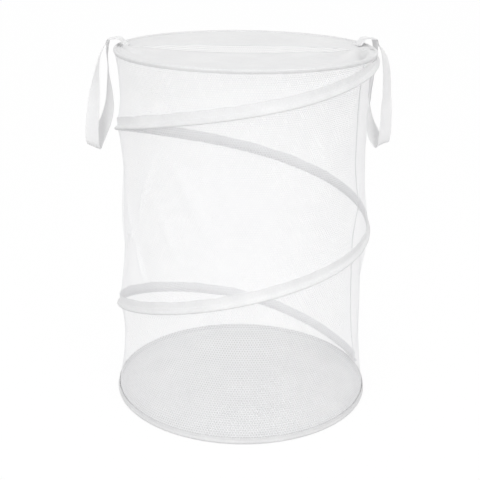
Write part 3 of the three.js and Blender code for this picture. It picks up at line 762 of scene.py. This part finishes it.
# Bindings of the two hoops
binding = {
    "stations": 288,
    "rim": {
        "radius": form["rimHoop"],
        "wireZ": form["height"] - form["hoopZ"],
        "leg": 0.005,
        "upright": False,
        "innerLeg": False,  # the net folds away there as the hamper collapses
        "seed": 11,
    },
    "base": {
        "radius": form["baseHoop"],
        "wireZ": form["hoopZ"],
        "leg": 0.009,
        "upright": True,
        "innerLeg": True,
        "seed": 12,
    },
    # from the foot of the outer leg over the wire; x outwards and z upwards from the wire (mm)
    "outer": {
        "x": [1.25, 1.25, 1.3, 1.9, 2.7, 3.0, 2.85, 2.2, 1.2, 0],
        "z": [-7, -5.6, -4.4, -3.1, -1.8, -0.4, 0.95, 2.05, 2.75, 3.0],
    },
    "inner": {
        "x": [0.55, 0.55, 0.6, 1.2, 2.0, 2.3, 2.15, 1.65, 0.9, 0],
        "z": [-7, -5.5, -4.1, -2.75, -1.5, -0.3, 0.75, 1.6, 2.1, 2.3],
    },
    "legFrom": 4,  # depth at which the legs begin, and how long the table has them (mm)
    "legLength": 3,
    "innerEnd": -0.002,  # depth at which a tape without an inner leg ends, with a turned tip
    "innerTip": (0.0006, -0.0008),
    "puckerFrom": 0.0035,
    "puckerOver": 0.004,
    "rowHeight": 0.0018,  # of the stitches above the edge of the tape
    "rowFace": 0.00127,  # and how far out from the middle of the tape
}


def makeBinding(body):
    # a folded tape round the hoop, its legs stitched together through the net
    hoop = binding[body]
    radius, wireZ, leg, seed = (hoop[key] for key in ("radius", "wireZ", "leg", "seed"))
    turn = -1 if hoop["upright"] else 1
    angles = fullTurn(binding["stations"])

    def side(face):
        # the legs are as long as this binding's are
        legFrom, half = binding["legFrom"], []
        for x, z in zip(face["x"], face["z"]):
            if z < -legFrom:
                z = -legFrom - (leg * 1000 - legFrom) * (-legFrom - z) / binding["legLength"]
            half.append((x / 1000, z / 1000))
        inside = [(-x, z) for x, z in reversed(half[:-1])]
        if not hoop["innerLeg"]:
            inside = [(x, z) for x, z in inside if z > binding["innerEnd"]]
            inside.append(tuple(a + b for a, b in zip(inside[-1], binding["innerTip"])))
        return half + inside

    outline = np.array(side(binding["outer"]) + side(binding["inner"])[::-1])
    ripple = rippleOf(angles * radius, seed, (0.05, 0.018), (0.00016, 0.0001))
    edge = rippleOf(angles * radius, seed + 1, (0.03, 0.012), (0.0002, 0.00012))
    low = ramp(-outline[:, 1] - binding["puckerFrom"], binding["puckerOver"])
    outwards = np.sign(outline[:, 0])
    x = outline[None, :, 0] + (np.abs(ripple)[:, None] * low * outwards)
    z = outline[None, :, 1] + edge[:, None] * low
    points = polar(radius + x, angles[:, None], wireZ + turn * z)
    patches = patchOf(points, closedAlong=True, closedAcross=True, turned=not hoop["upright"])
    height = wireZ - turn * (leg - binding["rowHeight"])
    for outwardSide in (1, -1) if hoop["innerLeg"] else (1,):
        reach = radius + outwardSide * binding["rowFace"] + np.abs(ripple) * outwardSide * 0.5
        path = polar(reach, angles, height)
        patches += stitchRow(path, polar(outwardSide, angles, 0.0), closed=True)
    # the hoops' tape is tinted greyer as painted shade on the rolled edge
    return buildPiece(f"{body}Binding", patches, [hoopTapePaintedShade, sewingThread])


rimTape = makeBinding("rim")
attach(rimTape, "rim")
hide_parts("rim_binding")
baseTape = makeBinding("base")
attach(baseTape, "base")
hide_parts("base_binding")
print("bindings made")

# Spiral spring and its casing
casing = {
    "perTurn": 288,
    # heights above the wire and how far out the two faces of the tape lie there (mm)
    "outerFace": {
        "z": [0.5, 1.6, 2.5, 3.1, 3.7, 4.7, 6.4, 19],
        "x": [3.0, 2.55, 1.7, 0.5, -0.7, -1.75, -2.3, -2.3],
    },
    "innerFace": {
        "z": [0.4, 1.2, 1.9, 2.4, 3.1, 4.4, 6.2, 19],
        "x": [2.3, 1.95, 1.3, 0.2, -1.3, -2.45, -3.0, -3.0],
    },
    # down the tall leg, as shares of its height
    "places": [1, 0.93, 0.86, 0.79, 0.72, 0.63, 0.54, 0.45, 0.36, 0.28, 0.215, 0.165, 0.125, 0.08, 0],
    # the fold under the wire, from its outer to its inner side (mm)
    "under": {
        "x": [2.85, 2.2, 1.2, 0, -1.2, -2.2, -2.85, -3.0, -3.0],
        "z": [-0.95, -2.05, -2.75, -3.0, -2.75, -2.05, -0.95, 0.5, 2.2],
    },
    "underInside": {
        "x": [2.2, 1.65, 0.9, 0, -0.9, -1.65, -2.2, -2.3, -2.3],
        "z": [-0.7, -1.6, -2.1, -2.3, -2.1, -1.6, -0.7, 0.5, 2.2],
    },
    "innerLeg": 4.0,
    "tipClear": 0.7,  # how far the inner leg ends below the tall one, and above its own fold (mm)
    "foldClear": 0.6,
    "rows": (16.8, 7.0),  # heights of the two rows of stitches above the wire
    "gatherTurns": 0.12,  # over which the tape's gathers die out below its upper end
    "crease": 0.0018,
    "creasePitch": 0.0075,
    "creaseTurns": 0.09,
    "looseFrom": 0.006,  # height above the wire at which the tape starts to stand off
    "looseOver": 0.013,
}


def casingSection(turns):
    # one section per station: outer face from the top of the tall leg, round the wire, and back
    top = np.minimum(form["casingHeight"], form["rimLegZ"] - 0.0003 - spiralZ(turns)) * 1000
    innerTop = np.minimum(casing["innerLeg"], top - casing["tipClear"])
    places = np.array(casing["places"])
    count = len(turns)

    def leg(face):
        low = face["z"][0]
        z = low + (top[:, None] - low) * places
        return np.stack([np.interp(z, face["z"], face["x"]), z], 2)

    def side(tall, fold):
        around = np.repeat(np.stack([fold["x"], fold["z"]], 1).astype(float)[None], count, 0)
        around[:, -1, 1] = np.minimum(around[:, -1, 1], innerTop - casing["foldClear"])
        end = np.stack([np.full(count, fold["x"][-1]), innerTop], 1)[:, None]
        return np.concatenate([leg(tall), around, end], 1)

    outer = side(casing["outerFace"], casing["under"])
    inner = side(casing["innerFace"], casing["underInside"])
    return np.concatenate([outer, inner[:, ::-1]], 1) / 1000, top / 1000


def casingRipple(turns):
    s = turns * 2 * np.pi * form["rimHoop"]
    near = np.exp(-turns / casing["gatherTurns"])
    puff = np.abs(rippleOf(s, 21, (0.07, 0.024, 0.011), (0.0004, 0.0003, 0.00014)))
    wave = rippleOf(s, 22, (0.09, 0.03), (0.0005, 0.0003))
    return puff * (1 + 1.5 * near), wave


def casingLift(turns, puff, h):
    # a puff that grows upwards, and lengthwise creases where the tape is drawn in under the rim
    high = ramp(h - casing["looseFrom"], casing["looseOver"])
    crease = 0.5 - 0.5 * np.cos(2 * np.pi * h / casing["creasePitch"] + 3 * turns)
    near = np.exp(-turns / casing["creaseTurns"])
    return puff * high**1.3 + casing["crease"] * near * crease * high**0.5


def makeCasing():
    turns = np.linspace(0, form["spiralTurns"], form["spiralTurns"] * casing["perTurn"] + 1)
    section, top = casingSection(turns)
    puff, wave = casingRipple(turns)
    high = ramp(section[..., 1] - casing["looseFrom"], casing["looseOver"])
    x = section[..., 0] + casingLift(turns[:, None], puff[:, None], section[..., 1])
    z = section[..., 1] + wave[:, None] * high * (top[:, None] > 0.018)
    radius = heldRadius(turns) + form["standOff"]
    angle = spiralAngle(turns)
    wireZ = spiralZ(turns)
    points = polar(radius[:, None] + x, angle[:, None], wireZ[:, None] + z)
    [(places, faces, lengths, _)] = patchOf(points, closedAcross=True, ends=True)
    columns = points.shape[1]
    # the inner faces take slot 2, the paler tint that is painted light over the shade inside
    inside = np.where(faces[:, 0] % columns >= columns // 2, 2, 0)
    patches = [(places, faces, lengths, inside)]
    for rowHeight in casing["rows"]:
        shown = top * 1000 > rowHeight + 1.2
        h = rowHeight / 1000
        lift = casingLift(turns, puff, h)
        path = polar((radius - 0.0023 + lift)[shown], angle[shown], (wireZ + h)[shown])
        patches += stitchRow(path, polar(1.0, angle[shown], 0.0))
    piece = buildPiece("spiralCasing", patches, [bindingTape, sewingThread, tapeInsidePaintedLight])
    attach(piece, "base")
    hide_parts("spiral_casing")
    squashWith(piece, *hang)


def tubePoints(path, radius, sides, normals):
    way = unit(np.gradient(path, axis=0))
    side = unit(np.cross(way, normals))
    up = np.cross(side, way)
    turn = fullTurn(sides)
    ringOut = np.cos(turn)[None, :, None] * side[:, None] + np.sin(turn)[None, :, None] * up[:, None]
    return path[:, None] + radius * ringOut


spring = {
    "wire": 0.0012,
    "sides": 12,
    "perTurn": 180,
    "endTurns": 0.0016,  # how far it stops short of the two ends of its way
    "inset": 0.00025,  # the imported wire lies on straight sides, and this one just inside its bends
}


def makeSpring():
    # the wire itself, which the tape hides
    first, last = spring["endTurns"], form["spiralTurns"] - spring["endTurns"]
    turns = np.linspace(first, last, form["spiralTurns"] * spring["perTurn"] + 1)
    radius = heldRadius(turns) + form["standOff"] - spring["inset"]
    path = polar(radius, spiralAngle(turns), spiralZ(turns))
    normals = np.tile([0.0, 0.0, 1.0], (len(path), 1))
    points = tubePoints(path, spring["wire"], spring["sides"], normals)
    patches = patchOf(points, closedAcross=True, ends=True)
    piece = buildPiece("spiralSpring", patches, [springSteel], 50)
    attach(piece, "base")
    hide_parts("spiral_spring")
    squashWith(piece, *hang)


makeCasing()
makeSpring()
print("spiral made")

# Upright seam of the net
seam = {
    "width": 0.005,
    "thickness": 0.0004,
    "gap": 0.0006,
    "netThickness": 0.00025,
    "rows": (-0.0013, 0.0013),
}


def makeSeam():
    z = np.linspace(hang[1], hang[0], 200)
    bearing = form["seamBearing"]
    outward = np.array([math.cos(bearing), math.sin(bearing), 0])
    across = np.array([-math.sin(bearing), math.cos(bearing), 0])
    face = netRadius(np.full_like(z, bearing), z) - seam["gap"] - seam["netThickness"]
    ripple = np.abs(rippleOf(z, 31, (0.05, 0.02), (0.0002, 0.00012)))
    half = seam["width"] / 2

    def line(radius, aside):
        return radius[:, None] * outward + aside * across + z[:, None] * np.array([0, 0, 1])

    rows = []
    for reach in np.linspace(-1, 1, 7):
        # the net is round, so the tape's edges lie a little further in
        inset = (reach * half) ** 2 / (2 * form["rimHoop"]) + ripple * (0.4 + 0.6 * abs(reach))
        rows.append((reach, inset))
    outer = [(face - inset, reach) for reach, inset in rows]
    inner = [(face - inset - seam["thickness"], reach) for reach, inset in reversed(rows)]
    points = np.stack([line(radius, reach * half) for radius, reach in outer + inner], 1)
    patches = patchOf(points, closedAcross=True, ends=True)
    for place in seam["rows"]:
        radius = face - seam["thickness"] - place**2 / (2 * form["rimHoop"]) - ripple * 0.8
        patches += stitchRow(line(radius, place), np.tile(-outward, (len(z), 1)))
    # the seam's tape is tinted whiter as painted light over its shade
    piece = buildPiece("netSeam", patches, [seamTapePaintedLight, sewingThread])
    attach(piece, "base")
    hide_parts("net_wall_seam")
    squashWith(piece, *hang)


makeSeam()

# Split cover
cover = {
    "radius": 0.2212,
    "z": 0.6325,
    "sag": 0.0015,
    "slitHalf": 0.184,
    "meet": 0.012,  # where the two cloths meet, behind the middle, and how soon from the rim
    "meetOver": 0.05,
    "endTurn": 0.006,
    "reach": {"rear": 0.043, "front": 0.036},
    "edgeGap": 0.0002,
    "hem": 0.008,
    "cloth": 0.00045,
    "columns": 220,
    "rows": 46,
    # where the right and the left handle gather the cloths: place, seed, height and reach
    "pulls": [((0.213, 0.060), 41, 0.023, 0.13), ((-0.219, 0.014), 43, 0.009, 0.09)],
    "rearPulls": 0.12,  # share of it in the rear cloth
    "swellHeight": 0.00022,
    "tautHem": 0.03,  # how far from the slit the wrinkles have their full height
    "tautRim": 0.012,  # and from the rim
    # along the slit the rear cloth's edge curls up and the front one's down
    "curl": 0.0009,
    "curlReach": 0.006,
    "flutterReach": 0.03,
    "dent": {"radius": 0.204, "across": 0.012, "bearing": -7, "along": 13, "depth": 0.0075},
}


def pleats(x, y, side):
    # wrinkles that run from the pull of each handle into the cloth, and fade on their way
    total = np.zeros_like(x)
    share = cover["rearPulls"] if side > 0 else 1
    for (px, py), seed, strength, reach in cover["pulls"]:
        dx, dy = x - px, y - py
        away = np.hypot(dx, dy)
        bearing = np.arctan2(dy, -np.sign(px) * dx)
        made = np.random.default_rng(seed)
        for k in range(6):
            wave = np.sin(bearing * (8 + 3 * k) + made.uniform(0, 6.28))
            fade = np.exp(-away / (reach * made.uniform(0.5, 1.3))) * ramp(away, 0.02)
            total += strength * share * wave / 6 * fade
    # the deep fold in front of the right handle's root, which runs on along the rim
    dent = cover["dent"]
    offRing = (np.hypot(x, y) - dent["radius"]) / dent["across"]
    offMiddle = (np.degrees(np.arctan2(y, x)) - dent["bearing"]) / dent["along"]
    total -= dent["depth"] * np.exp(-(offRing**2) - offMiddle**2)
    slow = np.random.default_rng(47 + side)
    for _ in range(7):
        phase = slow.uniform(-30, 30) * x + slow.uniform(40, 150) * y + slow.uniform(0, 6.28)
        total += cover["swellHeight"] * np.sin(phase)
    return total


def coverShape(side, reach):
    # rows run from the slit to the rim, columns from right to left
    turn = np.linspace(cover["endTurn"], math.pi - cover["endTurn"], cover["columns"])
    x = cover["radius"] * np.cos(turn)
    rim = cover["radius"] * np.sin(turn)
    parted = np.maximum(0, 1 - (x / cover["slitHalf"]) ** 2)
    meet = side * cover["meet"] * ramp(rim, cover["meetOver"]) + cover["edgeGap"]
    slit = meet + (reach - meet) * parted
    hem = np.minimum(cover["hem"], 0.4 * (rim - slit))
    return x, rim, slit, hem


def makeCover(name, side, reach, node):
    x, rim, slit, hem = coverShape(side, reach)
    inHem = np.array([0, 0.06, 0.35, 0.7, 0.94, 1.0])
    past = np.linspace(0, 1, cover["rows"]) ** 1.1
    hemRows = slit[:, None] + hem[:, None] * inHem
    clothRows = (slit + hem)[:, None] + (rim - slit - hem)[:, None] * past[1:]
    y = side * np.concatenate([hemRows, clothRows], 1)
    wide = np.broadcast_to(x[:, None], y.shape)
    fromMiddle, fromSlit = np.hypot(wide, y), y * side - slit[:, None]
    inside = ramp(cover["radius"] - fromMiddle, cover["tautRim"])
    height = cover["z"] - cover["sag"] * (1 - (fromMiddle / cover["radius"]) ** 2)
    taut = 0.15 + 0.85 * ramp(fromSlit, cover["tautHem"])
    height = height + pleats(wide, y, side) * inside * taut
    edge = np.zeros(cover["rows"] + len(inHem) - 1)
    edge[: len(inHem)] = (1, 1, 1, 1, 1, 0.55)
    # the edge along the slit is a rounded fold, and its inner end steps down by one layer
    lift = cover["cloth"] * edge
    curl = side * cover["curl"] * np.exp(-fromSlit / cover["curlReach"])
    ripple = rippleOf(x, 51 + side, (0.14, 0.06), (0.0003, 0.0001))[:, None]
    flutter = ripple * np.exp(-fromSlit / cover["flutterReach"]) * inside
    top = np.stack([wide, y, height + lift + curl + flutter], 2)
    under = np.stack([wide, y, height - cover["cloth"] / 2 + curl + flutter], 2)
    top[:, 0, 2] -= cover["cloth"] * 0.35
    points = np.concatenate([top, under[:, ::-1]], 1)
    patches = patchOf(points, closedAcross=True, ends=True, turned=side > 0)
    piece = buildPiece(name, patches, [taffeta])
    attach(piece, "rim")
    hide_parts(node)
    path = top[hem > 0.006][:, 4]
    sewn = stitchRow(path, np.tile([0.0, 0.0, 1.0], (len(path), 1)), material=0)
    row = buildPiece(f"{name}Stitches", sewn, [sewingThread])
    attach(row, "rim")


makeCover("coverRear", 1, cover["reach"]["rear"], "cover_cloth_rear")
makeCover("coverFront", -1, cover["reach"]["front"], "cover_cloth_front")
print("cover made")

# Base cloth
baseCloth = {
    "radius": 0.2254,
    "cloth": 0.0005,
    "rings": 60,
    "round": 240,
    "lift": 0.0011,
    "climb": 0.0042,  # up the inner side of the binding, where it is sewn on
    "climbFrom": 0.2165,
    "swells": 14,
    "puckers": 37,
    "puckerReach": 0.03,
    "flatRim": 0.015,
}


def makeBase():
    ring = np.linspace(0.004, 1, baseCloth["rings"])[:, None] * baseCloth["radius"]
    angle = fullTurn(baseCloth["round"])[None]
    x, y = ring * np.cos(angle), ring * np.sin(angle)
    made = np.random.default_rng(61)
    swell = np.zeros_like(x)
    for _ in range(baseCloth["swells"]):
        swell += np.sin(made.uniform(-45, 45) * x + made.uniform(-45, 45) * y + made.uniform(0, 6.28))
    fromRim = baseCloth["radius"] - ring
    gathers = np.sin(baseCloth["puckers"] * angle + 1.3 * np.sin(5 * angle))
    pull = gathers * np.exp(-fromRim / baseCloth["puckerReach"])
    inside = ramp(fromRim, baseCloth["flatRim"])
    height = baseCloth["lift"] * np.clip(0.5 + 0.16 * swell + 0.5 * pull, 0, 2) * inside
    climbFrom = baseCloth["climbFrom"]
    climb = ramp(ring - climbFrom, baseCloth["radius"] - climbFrom)
    height += baseCloth["climb"] * climb * climb * (3 - 2 * climb)
    under = np.stack([x, y, 0.0001 + height], 2)
    top = under + (0, 0, baseCloth["cloth"])
    points = np.concatenate([top, under[::-1]], 0)
    patches = patchOf(points, closedAlong=True, closedAcross=True)
    piece = buildPiece("baseCloth", patches, [taffeta])
    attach(piece, "base")
    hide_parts("base_panel")


makeBase()
print("base made")

# Webbing handles
webbing = {
    "width": 0.025,
    "thickness": 0.0011,
    "drop": 0.195,
    "hinge": (0.015, 0.0115),  # out from the rim hoop and above it
    "landing": 0.020,
    "stand": 0.012,
    "rise": 0.014,
    "tilt": 0.4,
    "cup": 0.0007,
    "step": 0.0022,
    # rows of stitches through both plies of the root, from and to along the webbing
    "rootRows": {"from": 0.002, "to": 0.0085, "reach": 0.0095, "count": 5, "pitch": 0.0028},
    # close tacks across it where the loop begins, and how far they stay from its edges
    "tacks": {"at": (0.0405, 0.0425), "edge": 0.0015, "pitch": 0.0016},
}

handles = {
    # the way of each loop: out, towards the back and down, as shares of the drop, and then how
    # far the webbing has turned face-on
    "left": {
        "bearing": 176,
        "back": -1,
        "clothTop": 0.0017,
        "way": [
            (0.02, 0, 0.036, 0.01), (0.05, -0.003, 0.08, 0.06), (0.085, -0.012, 0.16, 0.18),
            (0.113, -0.022, 0.308, 0.34), (0.148, -0.042, 0.605, 0.7), (0.163, -0.055, 0.846, 0.93),
            (0.162, -0.04, 0.955, 0.98), (0.156, 0, 0.993, 1), (0.14, 0.045, 0.945, 0.96),
            (0.095, 0.062, 0.846, 0.82), (0.045, 0.058, 0.728, 0.68), (0.014, 0.046, 0.605, 0.54),
            (0.006, 0.03, 0.467, 0.38), (0.012, 0.015, 0.282, 0.17), (0.016, 0.005, 0.128, 0.04),
            (0.009, 0.001, 0.041, 0),
        ],
    },
    "right": {
        "bearing": 16,
        "back": 1,
        "clothTop": 0.0009,
        "way": [
            (0.024, 0, 0.036, 0.06), (0.062, -0.003, 0.085, 0.18), (0.098, -0.012, 0.16, 0.36),
            (0.126, -0.022, 0.29, 0.58), (0.135, -0.038, 0.52, 0.7), (0.135, -0.05, 0.74, 0.8),
            (0.13, -0.052, 0.9, 0.93), (0.125, -0.03, 0.985, 0.98), (0.118, 0.005, 1, 1),
            (0.085, 0.045, 0.955, 0.92), (0.042, 0.056, 0.85, 0.68), (0.006, 0.045, 0.72, 0.42),
            (-0.004, 0.03, 0.54, 0.2), (0.004, 0.012, 0.32, 0.08), (0.018, 0.005, 0.18, 0.02),
            (0.012, 0.001, 0.05, 0),
        ],
    },
}


def between(a, b, t, s, first, last):
    span = t[last] - t[first]
    return (t[last] - s) / span * a + (s - t[first]) / span * b


def smoothWay(points, extra, perPiece=12):
    # centripetal curve through the points, with other values carried along it
    points, extra = np.array(points, float), np.array(extra, float)
    before = 2 * points[0] - points[1]
    after = 2 * points[-1] - points[-2]
    p = np.vstack([before, points, after])
    made, carried = [], []
    for i in range(1, len(p) - 2):
        p0, p1, p2, p3 = p[i - 1 : i + 3]
        steps = [math.dist(a, b) ** 0.5 for a, b in ((p0, p1), (p1, p2), (p2, p3))]
        t = np.concatenate([[0], np.cumsum(steps)])
        s = np.linspace(t[1], t[2], perPiece, endpoint=i == len(p) - 3)[:, None]
        a1 = between(p0, p1, t, s, 0, 1)
        a2 = between(p1, p2, t, s, 1, 2)
        a3 = between(p2, p3, t, s, 2, 3)
        b1 = between(a1, a2, t, s, 0, 2)
        b2 = between(a2, a3, t, s, 1, 3)
        made.append(between(b1, b2, t, s, 1, 2))
        share = (s - t[1]) / (t[2] - t[1])
        carried.append((extra[i - 1] + (extra[i] - extra[i - 1]) * share)[:, 0])
    return np.vstack(made), np.concatenate(carried)


def evenly(path, values, step):
    travelled = travelledAlong(path)
    s = np.linspace(0, travelled[-1], int(travelled[-1] / step) + 1)
    return pointsAt(s, travelled, path), np.interp(s, travelled, values), s


def strapWay(shape):
    # one webbing: up from the cover, over the tack, round the loop and back under the first ply
    apart = webbing["thickness"] / 2 + 0.00002
    landZ = shape["clothTop"] + 0.0003 + webbing["thickness"]
    out, up = webbing["hinge"]
    drop = webbing["drop"]
    root = [
        (-webbing["landing"], landZ),
        (-0.0152, landZ),
        (-webbing["stand"], landZ + 0.3 * (webbing["rise"] - landZ)),
        (-0.6 * webbing["stand"], landZ + 0.8 * (webbing["rise"] - landZ)),
        (0, webbing["rise"]),
        (0.0075, 0.0126),
        (0.0118, 0.0118),
    ]
    slope = unit(np.gradient(np.array(root), axis=0))
    normal = np.stack([-slope[:, 1], slope[:, 0]], 1)
    upper = [(x + n[0] * apart, z + n[1] * apart) for (x, z), n in zip(root, normal)]
    lower = [(x - n[0] * apart, z - n[1] * apart) for (x, z), n in zip(root, normal)]
    way = [(x, 0, z, 0) for x, z in upper]
    way += [(out + 0.0012, 0, up - 0.0002, 0), (out + 0.0026, 0, up - 0.0034, 0)]
    way += [(out + a * drop, shape["back"] * b * drop, up - c * drop, d) for a, b, c, d in shape["way"]]
    way += [(out + 0.0006, 0, up - 0.0040, 0), (out - 0.0006, 0, up - 0.0015, 0)]
    way += [(x, 0, z, 0) for x, z in reversed(lower)]
    table = np.array(way)
    path, turned = smoothWay(table[:, :3], table[:, 3])
    return evenly(path, turned, webbing["step"])


def makeHandle(sideName):
    shape = handles[sideName]
    path, turned, s = strapWay(shape)
    tangent = unit(np.gradient(path, axis=0))
    turn = turned * math.pi / 2
    width = np.stack([np.sin(turn), shape["back"] * np.cos(turn), webbing["tilt"] * np.sin(turn)], 1)
    across = unit(width - (width * tangent).sum(1, keepdims=True) * tangent)
    normal = np.cross(tangent, across)
    half, thick = webbing["width"] / 2, webbing["thickness"] / 2
    free = np.clip(np.minimum(s, s[-1] - s) / 0.03 - 1.2, 0, 1)  # the doubled root stays flat
    sag = rippleOf(s, 71 + len(sideName), (0.12, 0.05), (0.0006, 0.0003)) * free
    places = np.array([-1, -0.985, -0.9, -0.6, -0.2, 0.2, 0.6, 0.9, 0.985, 1])
    selvedge = np.array([0.45, 0.85, 1, 0.94, 0.97, 0.97, 0.94, 1, 0.85, 0.45])
    crown = webbing["cup"] * (places**2 - 0.35)
    faces = []
    for side in (1, -1):
        order = slice(None) if side == 1 else slice(None, None, -1)
        for place, edge, rise in zip(places[order], selvedge[order], crown[order]):
            lift = side * thick * edge + rise * free + sag * place
            faces.append(path + across * (half * place) + normal * lift[:, None])
    points = np.stack(faces, 1)
    patches = patchOf(points, closedAcross=True, ends=True, turned=True)
    patches += rootStitches(path, across, normal, s)
    bearing = math.radians(shape["bearing"])
    cosine, sine = math.cos(bearing), math.sin(bearing)
    turnAway = np.array([[cosine, -sine, 0], [sine, cosine, 0], [0, 0, 1]])
    origin = polar(form["rimHoop"], bearing, form["height"] - form["hoopZ"])
    patches = [(p @ turnAway.T + origin, f, uv, m) for p, f, uv, m in patches]
    piece = buildPiece(f"{sideName}Handle", patches, [webbingWeave, sewingThread])
    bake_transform(piece)
    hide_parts(f"handle_{sideName}", f"handle_root_{sideName}")


def rootStitches(path, across, normal, s):
    patches = []
    face = normal * (webbing["thickness"] / 2)
    rows, tacks = webbing["rootRows"], webbing["tacks"]
    sewn = (s > rows["from"]) & (s < rows["to"])
    for place in np.linspace(-rows["reach"], rows["reach"], rows["count"]):
        row = path + across * place + face
        patches += stitchRow(row[sewn], normal[sewn], pitch=rows["pitch"])
    half = webbing["width"] / 2 - tacks["edge"]
    for at in tacks["at"]:
        k = int(np.argmin(np.abs(s - at)))
        ends = np.linspace(-half, half, 24)[:, None]
        row = path[k] + face[k] + across[k] * ends
        patches += stitchRow(row, np.tile(normal[k], (24, 1)), pitch=tacks["pitch"])
    return patches


makeHandle("left")
makeHandle("right")
print("handles made")

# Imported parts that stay
for nodeName, finish in {
    "base_hoop": springSteel,
    "rim_hoop": springSteel,
    "base_hoop_sleeve": crimpTube,
    "rim_hoop_sleeve": crimpTube,
    "spiral_cap_upper": dippedVinyl,
    "spiral_cap_lower": dippedVinyl,
}.items():
    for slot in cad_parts[nodeName].material_slots:
        slot.material = finish
